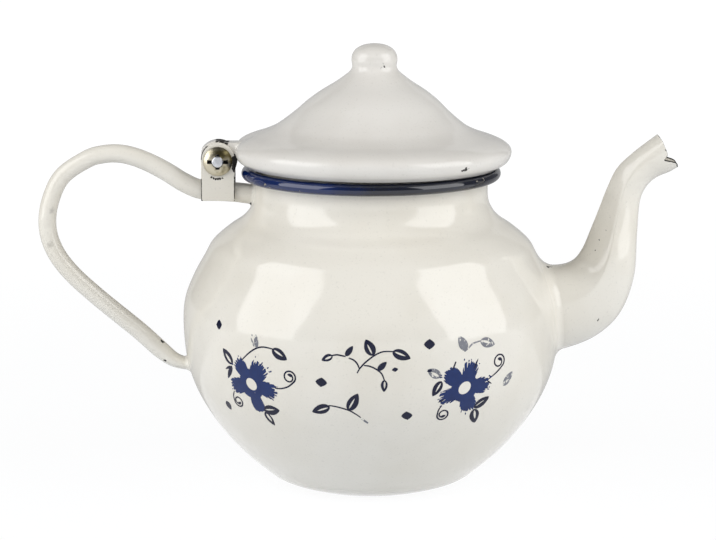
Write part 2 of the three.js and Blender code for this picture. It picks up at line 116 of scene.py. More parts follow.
class Curve:
    """A smooth curve through given points, each pulling evenly on its neighbours."""

    def __init__(self, points: Sequence[Sequence[float]]) -> None:
        """Keeps the points that the curve passes."""
        self.points = [Vector(point) for point in points]
        self.lengths: list[float] = []

    def at(self, share: float) -> Vector:
        """Finds a point of the curve.

        Args:
            share: From 0 at the first point to 1 at the last, the same between each two points.

        Returns:
            The point there.
        """
        last = len(self.points) - 1
        place = min(max(share, 0.0), 1.0) * last
        start = min(int(place), last)
        t = place - start
        before = self.points[max(start - 1, 0)]
        here = self.points[start]
        there = self.points[min(start + 1, last)]
        after = self.points[min(start + 2, last)]
        leave = (there - before) / 2
        arrive = (after - here) / 2
        cubic = (here - there) * 2 + leave + arrive
        square = (there - here) * 3 - leave * 2 - arrive
        return cubic * t**3 + square * t**2 + leave * t + here

    def samples(self, steps: int) -> Ring:
        """Gives evenly counted points along the curve, both ends among them."""
        return [self.at(i / steps) for i in range(steps + 1)]

    def along(self, share: float) -> Vector:
        """Finds the point at a share of the curve's length.

        Args:
            share: From 0 at the first point to 1 at the last.

        Returns:
            The point.
        """
        count = 400
        if not self.lengths:
            points = self.samples(count)
            self.lengths = [0.0]
            for here, there in zip(points, points[1:]):
                self.lengths.append(self.lengths[-1] + (there - here).length)
        wanted = min(max(share, 0.0), 1.0) * self.lengths[-1]
        index = min(max(bisect_right(self.lengths, wanted) - 1, 0), count - 1)
        step = self.lengths[index + 1] - self.lengths[index]
        return self.at((index + (wanted - self.lengths[index]) / step) / count)

    def direction(self, share: float) -> Vector:
        """Gives the direction of travel at a share of the curve's length."""
        nudge = 0.0008
        return (self.along(share + nudge) - self.along(share - nudge)).normalized()


def offset(points: Ring, distance: float) -> Ring:
    """Moves a flat line of points sideways, to the left of its direction of travel.

    Args:
        points: The line, as radius and height.
        distance: How far each point moves.

    Returns:
        The moved line, which doesn't cross the axis.
    """
    moved = []
    for i, point in enumerate(points):
        travel = (points[min(i + 1, len(points) - 1)] - points[max(i - 1, 0)]).normalized()
        moved.append(Vector((max(point.x - travel.y * distance, 0.0), point.y + travel.x * distance)))
    return moved


def arc(centre: Sequence[float], radius: float, start: float, end: float, steps: int) -> Ring:
    """Gives points on an arc between two angles, in radians, both ends among them.

    Args:
        centre: The arc's centre.
        radius: Its radius.
        start: The first angle.
        end: The last angle.
        steps: How many pieces it is cut into.

    Returns:
        The points.
    """
    points = []
    for i in range(steps + 1):
        angle = start + (end - start) * i / steps
        points.append(Vector((centre[0] + radius * cos(angle), centre[1] + radius * sin(angle))))
    return points


def turned(outline: Ring, steps: int, closed: bool = False) -> BMesh:
    """Spins an outline round the Z axis.

    Args:
        outline: Points as radius and height. An open outline starts and ends on the axis.
        steps: How many facets go round.
        closed: Whether the outline's last point joins its first.

    Returns:
        A closed mesh that faces outwards.
    """
    bm = bmesh.new()
    verts = [bm.verts.new((point.x, 0, point.y)) for point in outline]
    ends = verts[1:] + verts[:1] if closed else verts[1:]
    edges = [bm.edges.new(pair) for pair in zip(verts, ends)]
    bmesh.ops.spin(
        bm, geom=verts + edges, cent=(0, 0, 0), axis=(0, 0, 1), angle=tau, steps=steps, use_merge=True
    )
    bmesh.ops.remove_doubles(bm, verts=bm.verts[:], dist=WELD)
    bmesh.ops.recalc_face_normals(bm, faces=bm.faces[:])
    return bm


def sweep(bm: BMesh, rings: Sequence[Ring], closed: bool) -> tuple[list, list]:
    """Extrudes a ring of points through others that have the same count.

    Args:
        bm: The mesh that it adds to.
        rings: The places of the ring, from first to last.
        closed: Whether each ring closes on itself.

    Returns:
        The points of the first ring and of the last.
    """
    verts = [bm.verts.new(point) for point in rings[0]]
    ends = verts[1:] + verts[:1] if closed else verts[1:]
    edges = [bm.edges.new(pair) for pair in zip(verts, ends)]
    first = verts
    for ring in rings[1:]:
        grown = bmesh.ops.extrude_edge_only(bm, edges=edges)["geom"]
        fresh = {item for item in grown if isinstance(item, bmesh.types.BMVert)}
        pairs = {}
        for vert in verts:
            pairs[vert] = next(e.other_vert(vert) for e in vert.link_edges if e.other_vert(vert) in fresh)
        edges = [e for e in grown if isinstance(e, bmesh.types.BMEdge) and set(e.verts) <= fresh]
        verts = [pairs[vert] for vert in verts]
        for vert, point in zip(verts, ring):
            vert.co = point
    return first, verts


def swept(rings: Sequence[Ring], capped: bool) -> BMesh:
    """Makes a closed solid from closed rings.

    Args:
        rings: The rings, in order.
        capped: Whether the two ends are filled. If not, the last ring runs on into the first.

    Returns:
        A closed mesh that faces outwards.
    """
    bm = bmesh.new()
    ends = sweep(bm, rings if capped else [*rings, rings[0]], closed=True)
    if capped:
        for end in ends:
            bm.faces.new(end)
    bmesh.ops.remove_doubles(bm, verts=bm.verts[:], dist=WELD)
    bmesh.ops.recalc_face_normals(bm, faces=bm.faces[:])
    return bm


def round_edges(bm: BMesh, width: float, segments: int = 3) -> None:
    """Rounds every edge where two faces meet at more than half a right angle.

    Args:
        bm: The mesh.
        width: How far the rounding reaches.
        segments: How many facets it gets.
    """
    sharp = [edge for edge in bm.edges if edge.is_manifold and edge.calc_face_angle(0.0) > radians(45)]
    bmesh.ops.bevel(
        bm, geom=sharp, offset=width, segments=segments, profile=0.5, affect="EDGES", material=-1,
        clamp_overlap=True,
    )


def cut(name: str, target: BMesh, tool: BMesh, operation: str = "DIFFERENCE") -> BMesh:
    """Cuts or joins one solid by another.

    Args:
        name: A name for the passing objects.
        target: The solid that is cut. It is used up.
        tool: The cutter, or what is joined. It is used up.
        operation: DIFFERENCE or UNION.

    Returns:
        The new solid.
    """
    objects = []
    for part, bm in (("target", target), ("tool", tool)):
        mesh = bpy.data.meshes.new(f"{name}_{part}")
        bm.to_mesh(mesh)
        bm.free()
        objects.append(bpy.data.objects.new(mesh.name, mesh))
        bpy.context.scene.collection.objects.link(objects[-1])
    modifier = objects[0].modifiers.new("cut", "BOOLEAN")
    modifier.operation = operation
    modifier.solver = "EXACT"
    modifier.object = objects[1]
    bpy.context.view_layer.update()
    result = bmesh.new()
    result.from_object(objects[0], bpy.context.evaluated_depsgraph_get())
    for item in objects:
        mesh = item.data
        bpy.data.objects.remove(item)
        bpy.data.meshes.remove(mesh)
    return result


def add_piece(
    bm: BMesh, name: str, material: Material, replaced: Sequence[str] = (), body: Body = Body.POT,
    slot: Slot = Slot.POT,
) -> None:
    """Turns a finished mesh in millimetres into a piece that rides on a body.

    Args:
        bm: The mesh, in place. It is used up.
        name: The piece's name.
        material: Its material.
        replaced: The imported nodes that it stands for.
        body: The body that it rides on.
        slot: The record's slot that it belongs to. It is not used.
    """
    bmesh.ops.scale(bm, vec=(MM, MM, MM), verts=bm.verts[:])
    mesh = bpy.data.meshes.new(name)
    bm.to_mesh(mesh)
    bm.free()
    mesh.shade_smooth()
    mesh.set_sharp_from_angle(angle=CREASE)
    mesh.materials.append(material)
    piece = bpy.data.objects.new(name, mesh)
    bpy.context.scene.collection.objects.link(piece)
    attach(piece, body.value)
    if replaced:
        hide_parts(*replaced)
    LOG.info("%s: %d faces on %s", name, len(mesh.polygons), body.value)


def to_linear(colour: str) -> tuple[float, ...]:
    """Turns an sRGB hex colour into linear light.

    Args:
        colour: Such as "#e9e5da".

    Returns:
        Red, green, blue and alpha.
    """
    channels = [int(colour[i : i + 2], 16) / 255 for i in (1, 3, 5)]
    red, green, blue = (c / 12.92 if c <= 0.04045 else ((c + 0.055) / 1.055) ** 2.4 for c in channels)
    return red, green, blue, 1.0


def per_mm(size: float) -> float:
    """Gives the texture scale at which a pattern repeats after a size in millimetres."""
    return 1 / (size * MM)


def find(sockets: Sequence[Socket], key: str) -> Socket:
    """Finds a socket by its identifier, or else by its name."""
    matching = [socket for socket in sockets if socket.identifier == key]
    return (matching or [socket for socket in sockets if socket.name == key])[0]


def add_node(
    tree: NodeTree, kind: str, out: str, inputs: dict | None = None, **settings: object
) -> Socket | None:
    """Adds a node with its settings, values and links.

    Args:
        tree: The material's nodes.
        kind: The node's type, without the word ShaderNode.
        out: The output that is wanted. The last node of a tree has none.
        inputs: A value or another node's output for each named input.
        settings: The node's own properties.

    Returns:
        The wanted output.
    """
    node = tree.nodes.new(f"ShaderNode{kind}")
    for key, value in settings.items():
        setattr(node, key, value)
    for key, value in (inputs or {}).items():
        socket = find(node.inputs, key)
        if isinstance(value, Socket):
            tree.links.new(value, socket)
        else:
            socket.default_value = value
    return find(node.outputs, out) if out else None


def new_material(name: str) -> tuple[Material, NodeTree, Socket]:
    """Starts a material.

    Args:
        name: The material's name.

    Returns:
        The material, its node tree and the object coordinates.
    """
    material = bpy.data.materials.new(name)
    material.use_nodes = True
    tree = material.node_tree
    tree.nodes.clear()
    return material, tree, add_node(tree, "TexCoord", "Object")


def leaning(
    tree: NodeTree, place: Socket, factor: Socket, lean: Sequence[float], centre: Sequence[float]
) -> Socket:
    """Makes a factor grow in one direction.

    Args:
        tree: The material's nodes.
        place: The object coordinates.
        factor: The factor to change.
        lean: How much it grows per mm along each axis.
        centre: The place in mm where it stays as it was.

    Returns:
        The changed factor.
    """
    away = add_node(
        tree, "VectorMath", "Vector", {"Vector": place, "Vector_001": [value * MM for value in centre]},
        operation="SUBTRACT",
    )
    towards = add_node(
        tree, "VectorMath", "Value", {"Vector": away, "Vector_001": [value / MM for value in lean]},
        operation="DOT_PRODUCT",
    )
    return add_node(tree, "Math", "Value", {"Value": factor, "Value_001": towards}, operation="ADD")


def layered(tree: NodeTree, ground: str, layers: Sequence[tuple[Socket, str]]) -> Socket:
    """Lays colours over a ground, each by a mask of its own.

    Args:
        tree: The material's nodes.
        ground: The lowest colour.
        layers: The mask and the colour of each layer, upwards.

    Returns:
        The colour that is seen.
    """
    colour = to_linear(ground)
    for mask, over in layers:
        inputs = {"Factor_Float": mask, "A_Color": colour, "B_Color": to_linear(over)}
        colour = add_node(tree, "Mix", "Result_Color", inputs, data_type="RGBA")
    return colour


@dataclass(frozen=True)
class ChipAndShadeSpot:
    """A spot in the bare iron's colour: mostly where the enamel has come off, and in a few places a painted
    shade.
    """

    place: Triple
    radius: float
    depth: float = 1.0  # 1 is down to the iron, and less is a grey rub
    core: float = 0.8  # the share of the radius that is fully bare


@dataclass(frozen=True)
class VitreousEnamel:
    """Glass frit fired on sheet steel: a deep, even gloss, faintly rippled, and black iron where it chips,
    with a few spots of painted shade in that colour.
    """

    name: str
    colour: str
    thin_colour: str  # where the coat ran thin
    fleck_colour: str  # fine specks in the frit
    fleck_strength: float = 0.22
    fleck_size: float = 0.8  # real specks are finer, and wouldn't show
    fleck_range: Pair = (0.62, 0.8)
    drift_size: float = 34.0
    drift_range: Pair = (0.42, 0.72)
    ripple_size: float = 5.5
    ripple_height: float = 0.02
    roughness: float = 0.1
    index: float = 1.52
    chips: tuple[ChipAndShadeSpot, ...] = ()
    bare_edges: bool = False  # whether the piece carries the attribute "bare"
    bare_range: Pair = (0.98, 1.06)
    # the iron's colour is also the colour of the painted shade spots
    iron_and_shade_colour: str = "#1b1816"
    iron_roughness: float = 0.62
    ragged_size: float = 1.1  # of the teeth along a chip's edge
    wander: float = 2.2  # how far that edge strays, in mm
    lean: Triple = (0.0, 0.0, 0.0)  # how much thinner the coat is per mm that way
    lean_centre: Triple = (0.0, 0.0, 0.0)

    def make(self) -> Material:
        """Builds the material.

        Returns:
            The material.
        """
        material, tree, place = new_material(self.name)
        noises = ((self.drift_size, 3.0), (self.fleck_size, 1.0), (self.ripple_size, 1.0))
        drift, specks, height = (
            add_node(tree, "TexNoise", "Fac", {"Vector": place, "Scale": per_mm(size), "Detail": detail})
            for size, detail in noises
        )
        drift = leaning(tree, place, drift, self.lean, self.lean_centre)
        low, high = self.drift_range
        thin = add_node(tree, "MapRange", "Result", {"Value": drift, "From Min": low, "From Max": high})
        low, high = self.fleck_range
        flecks = add_node(
            tree, "MapRange", "Result",
            {"Value": specks, "From Min": low, "From Max": high, "To Max": self.fleck_strength},
        )
        layers = [(thin, self.thin_colour), (flecks, self.fleck_colour)]
        bare = self.bare_and_shade_mask(tree, place)
        roughness: Socket | float = self.roughness
        if bare is not None:
            layers.append((bare, self.iron_and_shade_colour))
            roughness = add_node(
                tree, "MapRange", "Result",
                {"Value": bare, "To Min": self.roughness, "To Max": self.iron_roughness},
            )
            height = add_node(
                tree, "Math", "Value", {"Value": height, "Value_001": bare}, operation="SUBTRACT"
            )
        colour = layered(tree, self.colour, layers)
        bump = add_node(
            tree, "Bump", "Normal",
            {"Height": height, "Strength": 1.0, "Distance": self.ripple_height * MM},
        )
        shader = add_node(
            tree, "BsdfPrincipled", "BSDF",
            {"Base Color": colour, "Roughness": roughness, "IOR": self.index, "Normal": bump},
        )
        add_node(tree, "OutputMaterial", "", {"Surface": shader})
        return material

    def bare_and_shade_mask(self, tree: NodeTree, place: Socket) -> Socket | None:
        """Builds the mask of bare iron, which also holds the spots of painted shade in the iron's colour.

        Args:
            tree: The material's nodes.
            place: The object coordinates.

        Returns:
            The mask's output, or None where the piece has no wear.
        """
        ragged = add_node(
            tree, "TexNoise", "Fac", {"Vector": place, "Scale": per_mm(self.ragged_size), "Detail": 3.0}
        )
        mask: Socket | None = None
        if self.bare_edges:
            worn = add_node(tree, "Attribute", "Fac", attribute_name="bare")
            rough = add_node(tree, "Math", "Value", {"Value": worn, "Value_001": ragged}, operation="ADD")
            low, high = self.bare_range
            mask = add_node(tree, "MapRange", "Result", {"Value": rough, "From Min": low, "From Max": high})
        if not self.chips:
            return mask
        centred = add_node(
            tree, "VectorMath", "Vector",
            {"Vector": ragged.node.outputs["Color"], "Vector_001": (0.5, 0.5, 0.5)},
            operation="SUBTRACT",
        )
        stray = add_node(
            tree, "VectorMath", "Vector", {"Vector": centred, "Scale": self.wander * MM}, operation="SCALE"
        )
        strayed = {"Vector": place, "Vector_001": stray}
        moved = add_node(tree, "VectorMath", "Vector", strayed, operation="ADD")
        for chip in self.chips:
            away = add_node(
                tree, "VectorMath", "Value",
                {"Vector": moved, "Vector_001": [value * MM for value in chip.place]},
                operation="DISTANCE",
            )
            near = chip.radius * chip.core * chip.depth * MM
            spot = add_node(
                tree, "MapRange", "Result",
                {"Value": away, "From Min": chip.radius * MM, "From Max": near, "To Max": chip.depth},
            )
            if mask is None:
                mask = spot
            else:
                both = {"Value": mask, "Value_001": spot}
                mask = add_node(tree, "Math", "Value", both, operation="MAXIMUM")
        return mask


@dataclass(frozen=True)
class Transfer:
    """A transfer print in cobalt, fired into the enamel: flat, and mottled where the wash took it off."""

    name: str
    colour: str
    pale_colour: str
    ground_colour: str
    worn_share: float  # how much of it has gone
    cloud_size: float = 3.2
    grain_size: float = 1.2
    grain_range: Pair = (0.78, 0.86)
    roughness: float = 0.16
    index: float = 1.4

    def make(self) -> Material:
        """Builds the material.

        Returns:
            The material.
        """
        material, tree, place = new_material(self.name)
        cloud = add_node(
            tree, "TexNoise", "Fac", {"Vector": place, "Scale": per_mm(self.cloud_size), "Detail": 4.0}
        )
        grain = add_node(
            tree, "TexNoise", "Fac",
            {"Vector": place, "Scale": per_mm(self.grain_size), "Detail": 3.0, "Roughness": 0.6},
        )
        low, high = self.grain_range
        gone = add_node(
            tree, "MapRange", "Result",
            {"Value": grain, "From Min": low - self.worn_share, "From Max": high - self.worn_share},
        )
        colour = layered(tree, self.colour, [(cloud, self.pale_colour), (gone, self.ground_colour)])
        shader = add_node(
            tree, "BsdfPrincipled", "BSDF",
            {"Base Color": colour, "Roughness": self.roughness, "IOR": self.index},
        )
        add_node(tree, "OutputMaterial", "", {"Surface": shader})
        return material


@dataclass(frozen=True)
class DullMetal:
    """A bare metal with a grain and tarnished patches, and a painted shade in the same colour that deepens
    one way where lean is set: it keeps the default index of refraction.
    """

    name: str
    colour: str
    shade_and_tarnish_colour: str
    roughness: float
    grain_size: float
    tarnish_size: float
    shade_and_tarnish_from: float = 0.4
    shade_and_tarnish_to: float = 0.7
    smoother: float = 0.08  # how far the grain takes the roughness down
    rougher: float = 0.12  # and how far up
    lean: Triple = (0.0, 0.0, 0.0)  # how much more of the painted shade, in the tarnished colour, there is per mm that way
    lean_centre: Triple = (0.0, 0.0, 0.0)

    def make(self) -> Material:
        """Builds the material.

        Returns:
            The material.
        """
        material, tree, place = new_material(self.name)
        cloud = {"Vector": place, "Scale": per_mm(self.tarnish_size), "Detail": 3.0}
        spread = leaning(tree, place, add_node(tree, "TexNoise", "Fac", cloud), self.lean, self.lean_centre)
        shade_and_tarnish_mask = add_node(
            tree, "MapRange", "Result",
            {"Value": spread, "From Min": self.shade_and_tarnish_from, "From Max": self.shade_and_tarnish_to},
        )
        colour = layered(tree, self.colour, [(shade_and_tarnish_mask, self.shade_and_tarnish_colour)])
        grain = add_node(
            tree, "TexNoise", "Fac", {"Vector": place, "Scale": per_mm(self.grain_size), "Detail": 2.0}
        )
        low, high = self.roughness - self.smoother, self.roughness + self.rougher
        rough = add_node(tree, "MapRange", "Result", {"Value": grain, "To Min": low, "To Max": high})
        bump = add_node(tree, "Bump", "Normal", {"Height": grain, "Strength": 0.5, "Distance": 0.02 * MM})
        shader = add_node(
            tree, "BsdfPrincipled", "BSDF",
            {"Base Color": colour, "Metallic": 1.0, "Roughness": rough, "Normal": bump},
        )
        add_node(tree, "OutputMaterial", "", {"Surface": shader})
        return material


CREAM = "#e9e5db"
CREAM_THIN = "#e3ded2"
FRIT_GREY = "#b9b6ad"


@dataclass
class Pot:
    """The pressed body: bowl, shoulder, neck and the mouth's flange, with the strainer behind the spout."""

    base_radius: float = 26.0
    belly_radius: float = 68.44
    belly_height: float = 60.0
    neck_radius: float = 42.5
    neck_foot_height: float = 105.0
    mouth_height: float = 115.0  # 0.8 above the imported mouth, as the photograph shows the rim
    wall: float = 1.0
    flange_reach: float = 2.4
    strainer_hole: float = 2.2
    strainer_pitch: float = 7.5
    strainer_height: float = 64.7
    facets: int = 224
    profile_steps: int = 620
    profile_stride: int = 6  # the mesh takes every sixth point of the profile
    lower_belly_shares: tuple = (
        (0, 0), (0.2, 0.048), (0.34, 0.12), (0.532, 0.24), (0.717, 0.395), (0.876, 0.578), (0.967, 0.76),
        (1, 0.97),
    )
    shoulder_shares: tuple = (
        (0.98, 0.18), (0.86, 0.37), (0.69, 0.55), (0.585, 0.655), (0.38, 0.76), (0.18, 0.84), (0.06, 0.92),
        (0, 1.02),
    )
    profile: Ring = field(default_factory=list)
    heights: list[float] = field(default_factory=list)
    arcs: list[float] = field(default_factory=list)

    def __post_init__(self) -> None:
        """Works out the outer profile and the length along it."""
        over_base = self.belly_radius - self.base_radius
        over_neck = self.belly_radius - self.neck_radius
        rise = self.neck_foot_height - self.belly_height
        points = []
        for out, up in self.lower_belly_shares:
            points.append((self.base_radius + out * over_base, up * self.belly_height))
        for out, up in self.shoulder_shares:
            points.append((self.neck_radius + out * over_neck, self.belly_height + up * rise))
        curve = Curve([*points, (self.neck_radius, self.mouth_height - self.wall)])
        self.profile = curve.samples(self.profile_steps)
        self.heights = [point.y for point in self.profile]
        self.arcs = [0.0]
        for here, there in zip(self.profile, self.profile[1:]):
            self.arcs.append(self.arcs[-1] + (there - here).length)

    def radius_at(self, height: float) -> float:
        """Gives the outer radius at a height.

        Args:
            height: Above the table.

        Returns:
            The radius.
        """
        index = min(max(bisect_right(self.heights, height) - 1, 0), len(self.heights) - 2)
        low, high = self.profile[index], self.profile[index + 1]
        share = min(max((height - low.y) / (high.y - low.y), 0.0), 1.0)
        return low.x + share * (high.x - low.x)

    def point(self, angle: float, height: float, lift: float = 0.0) -> Vector:
        """Gives a point of the wall, by its angle in radians from the near side towards the spout."""
        radius = self.radius_at(height) + lift
        return Vector((radius * sin(angle), -radius * cos(angle), height))

    def on_wall(self, point: Vector, lift: float = 0.0) -> Vector:
        """Moves a point straight in or out from the axis onto the wall."""
        return self.point(atan2(point.x, -point.y), point.z, lift)

    def depth(self, point: Vector) -> float:
        """Tells how far a point is outside the wall. It is below 0 inside."""
        return hypot(point.x, point.y) - self.radius_at(point.z)

    def meets(self, line: Callable[[float], Vector], low: float, high: float, sink: float = 0.0) -> float:
        """Finds the share of a line at which it comes out of the wall, or lies sunk that deep in it."""
        return crossing(lambda share: self.depth(line(share)) + sink, low, high)

    def along_wall(self, centre_height: float, rise: float) -> Pair:
        """Walks along the profile.

        Args:
            centre_height: The height of the start.
            rise: The length of the walk, upwards.

        Returns:
            The radius and height of its end.
        """
        index = bisect_right(self.heights, centre_height) - 1
        wanted = self.arcs[index] + rise
        index = min(max(bisect_right(self.arcs, wanted) - 1, 0), len(self.arcs) - 2)
        share = (wanted - self.arcs[index]) / (self.arcs[index + 1] - self.arcs[index])
        place = self.profile[index].lerp(self.profile[index + 1], share)
        return place.x, place.y

    def build(self, enamel: Material) -> None:
        """Spins the body and punches its strainer.

        Args:
            enamel: Its finish.
        """
        outer = self.profile[::self.profile_stride]
        inner = offset(outer, self.wall)
        lip = arc((self.neck_radius, self.mouth_height - self.wall), self.wall, pi / 2, pi, 6)
        flange = self.neck_radius + self.flange_reach
        outline = [
            Vector((0, 0)),
            *outer,
            Vector((flange, self.mouth_height - self.wall)),
            Vector((flange, self.mouth_height)),
            *lip,
            *reversed(inner[:-1]),
            Vector((0, self.wall)),
        ]
        shell = turned(outline, self.facets)
        places = [Vector((0, 0)), *arc((0, 0), self.strainer_pitch, 0, tau * 5 / 6, 5)]
        drills = bmesh.new()
        lying = Matrix.Rotation(pi / 2, 4, "Y")
        for place in places:
            middle = Vector((self.belly_radius, place.x, self.strainer_height + place.y))
            bmesh.ops.create_cone(
                drills, cap_ends=True, segments=28, radius1=self.strainer_hole, radius2=self.strainer_hole,
                depth=self.belly_radius / 2, matrix=Matrix.Translation(middle) @ lying,
            )
        shell = cut("strainer", shell, drills)
        add_piece(shell, "pot_body", enamel, ["body_bowl", "body_shoulder"])


@dataclass
class RolledRim:
    """The blue ring that is rolled over the mouth's flange."""

    pot: Pot
    tube_radius: float = 2.15
    wall: float = 0.8
    slot_angle: float = 0.66
    seat_gap: float = 0.3
    facets: int = 200

    def build(self, enamel: Material) -> None:
        """Spins the ring's hooked section.

        Args:
            enamel: Its finish.
        """
        out = self.pot.neck_radius + self.seat_gap + self.tube_radius
        centre = (out, self.pot.mouth_height - self.pot.wall / 2)
        start, end = pi + self.slot_angle, pi * 3 - self.slot_angle
        outer = arc(centre, self.tube_radius, start, end, 34)
        inner = arc(centre, self.tube_radius - self.wall, end, start, 34)
        ring = turned(outer + inner, self.facets, closed=True)
        add_piece(ring, "rolled_rim", enamel, ["rim_ring"], slot=Slot.RIM)


def weld_band(
    pot: Pot, surface: Callable[[float, float], Vector], angles: Sequence[float],
    search: Pair, pot_reach: float, tube_reach: float,
) -> BMesh:
    """Makes the enamelled weld that fills the corner between a tube and the pot.

    Args:
        pot: The pot that the tube stands on.
        surface: The tube's surface, from a share of its length and an angle round it.
        angles: The angles round the tube, in order.
        search: The shares between which the tube leaves the pot, the one inside first.
        pot_reach: How far the weld spreads on the pot.
        tube_reach: How far it climbs on the tube.

    Returns:
        A closed band.
    """
    shares = [pot.meets(lambda share: surface(share, angle), *search) for angle in angles]
    roots = [surface(share, angle) for share, angle in zip(shares, angles)]
    middle = sum(roots, Vector((0, 0, 0))) / len(roots)
    step = copysign(0.002, search[1] - search[0])
    rings = []
    for angle, share, root in zip(angles, shares, roots):
        out = (root - middle).normalized()
        foot = pot.on_wall(root + out * pot_reach, -0.04)
        slope = (surface(share + step, angle) - root).length
        climb = surface(share + step * tube_reach / slope, angle) - out * 0.04
        ring = []
        for i in range(9):
            t = i / 8
            ring.append(foot * (1 - t) ** 2 + root * 2 * t * (1 - t) + climb * t**2)
        ring.append(pot.on_wall(root, -0.6))
        rings.append(ring)
    return swept(rings, capped=False)


@dataclass
class Spout:
    """The swan-neck spout, two pressed halves joined on the pot's middle plane."""

    pot: Pot
    foot_height: float = 49.0
    rise: float = 79.2
    reach: float = 42.75
    wall: float = 0.9
    ridge_share: float = 0.16
    mouth_cut: float = 12.0
    sink: float = 0.45
    top_shares: tuple = (
        (-0.2, 0.4), (-0.01, 0.396), (0.117, 0.418), (0.2, 0.473), (0.27, 0.563), (0.34, 0.66),
        (0.405, 0.754), (0.49, 0.848), (0.63, 0.922), (0.78, 0.984), (0.89, 1.027),
    )
    belly_shares: tuple = (
        (-0.2, -0.012), (0.08, 0.012), (0.34, 0.073), (0.535, 0.18), (0.645, 0.347), (0.666, 0.543),
        (0.685, 0.688), (0.733, 0.757), (0.818, 0.803), (0.945, 0.834), (1.06, 0.872),
    )
    width_shares: tuple = (0.9, 0.88, 0.82, 0.78, 0.84, 0.9, 0.96, 0.98, 0.96, 0.94, 0.94)
    facet_powers: tuple = (1, 1, 1.15, 1.42, 1.62, 1.68, 1.62, 1.5, 1.3, 1.1, 1)
    tip_shares: tuple = (0.83, 1.0)
    root_search: Pair = (0.0, 0.4)  # the shares between which the spout leaves the pot
    mouth_search: Pair = (0.7, 1.0)
    weld_spread: Pair = (4.2, 3.6)  # on the pot and on the spout
    lip_bulge: float = 0.15
    worn_lip: Pair = (-0.75, -0.1)  # how far back from the mouth's edge it is worn
    low_edge_share: float = 0.55  # below this much of the cut it is worn all through
    top_wear: float = 0.52  # and above it only so much
    mouth_edge_shares: tuple = (
        (0, 0), (0.11, 0.15), (0.19, 0.34), (0.255, 0.51), (0.24, 0.61), (0.185, 0.69), (0.37, 0.745),
        (0.53, 0.8), (0.6, 0.9), (0.62, 1.02),
    )
    steps: int = 88
    round_steps: int = 72

    def __post_init__(self) -> None:
        """Draws the curves that shape the spout."""
        self.top = Curve([self.share_point(pair) for pair in self.top_shares])
        self.belly = Curve([self.share_point(pair) for pair in self.belly_shares])
        self.widths = Curve([(i, value) for i, value in enumerate(self.width_shares)])
        self.powers = Curve([(i, value) for i, value in enumerate(self.facet_powers)])
        tip = self.share_point(self.tip_shares)
        cut_back = self.mouth_cut
        edge = [(tip[0] + out * cut_back, tip[1] - down * cut_back) for out, down in self.mouth_edge_shares]
        self.mouth_line = Curve(edge).samples(160)
        self.pour = (self.top.at(1.0) - self.top.at(0.9)).normalized()

    def share_point(self, pair: Sequence[float]) -> Pair:
        """Turns shares of the spout's reach and rise into a point of the middle plane."""
        return self.pot.belly_radius + pair[0] * self.reach, self.foot_height + pair[1] * self.rise

    def surface(self, share: float, angle: float, wall: float = 0.0) -> Vector:
        """Finds a point of the spout's outside, or of its inside.

        Args:
            share: Along the spout, from the root to the mouth.
            angle: Round it, from 0 on the inner curve of the neck to pi on the outer.
            wall: How far inside the outer skin the point lies.

        Returns:
            The point.
        """
        high, low = self.top.at(share), self.belly.at(share)
        centre = (high + low) / 2
        half = (high - centre).length
        up = (high - centre).normalized()
        level, side = cos(angle), sin(angle)
        power = self.powers.at(share).y
        if level > 0:
            level = self.ridge_share + (1 - self.ridge_share) * level**power
            side = copysign(abs(side) ** power, side)
        else:
            level = self.ridge_share + (1 + self.ridge_share) * level
        climb = (half - wall) * level
        across = (half * self.widths.at(share).y - wall) * side
        return Vector((centre.x + up.x * climb, across, centre.y + up.y * climb))

    def past_mouth(self, point: Vector) -> float:
        """Tells how far a point is past the mouth's scalloped edge. It is below 0 in the spout.

        Args:
            point: The point.

        Returns:
            The distance along the pour.
        """
        flat = Vector((point.x, point.z))
        across = Vector((-self.pour.y, self.pour.x))
        nearest = min(self.mouth_line, key=lambda edge: abs((flat - edge).dot(across)))
        return (flat - nearest).dot(self.pour)

    def half(self, side: Side) -> BMesh:
        """Builds one pressed half.

        Args:
            side: Which half.

        Returns:
            A closed shell, with the attribute "bare" where the mouth is worn.
        """
        rings = []
        for i in range(self.round_steps + 1):
            angle = i * pi / self.round_steps
            lines = []
            for wall in (0.0, self.wall):
                skin = partial(self.surface, angle=angle, wall=wall)
                start = self.pot.meets(skin, *self.root_search, self.sink)
                end = crossing(lambda share: self.past_mouth(skin(share)), *self.mouth_search)
                line = []
                for k in range(self.steps + 1):
                    point = skin(start + (end - start) * k / self.steps)
                    point.y *= side.value
                    line.append(point)
                lines.append(line)
            outer, inner = lines
            onward = (outer[-1] - outer[-2]).normalized()
            lip = (outer[-1] + inner[-1]) / 2 + onward * self.wall * self.lip_bulge
            rings.append([*outer, lip, *reversed(inner)])
        bm = swept(rings, capped=True)
        bare = bm.verts.layers.float.new("bare")
        low_edge = self.mouth_line[0].y - self.mouth_cut * self.low_edge_share
        for vert in bm.verts:
            past = self.past_mouth(vert.co)
            low = smoothstep(vert.co.z, low_edge + 1.0, low_edge - 1.0)
            vert[bare] = smoothstep(past, *self.worn_lip) * (self.top_wear + (1 - self.top_wear) * low)
        return bm

    def build(self, enamel: Material) -> None:
        """Builds both halves and the weld at the root.

        Args:
            enamel: Their finish.
        """
        for side in Side:
            name = side.name.lower()
            add_piece(self.half(side), f"spout_{name}", enamel, [f"spout_{name}_half"])
        angles = [i * tau / 120 for i in range(120)]
        weld = weld_band(self.pot, self.surface, angles, self.root_search, *self.weld_spread)
        add_piece(weld, "spout_weld", enamel)


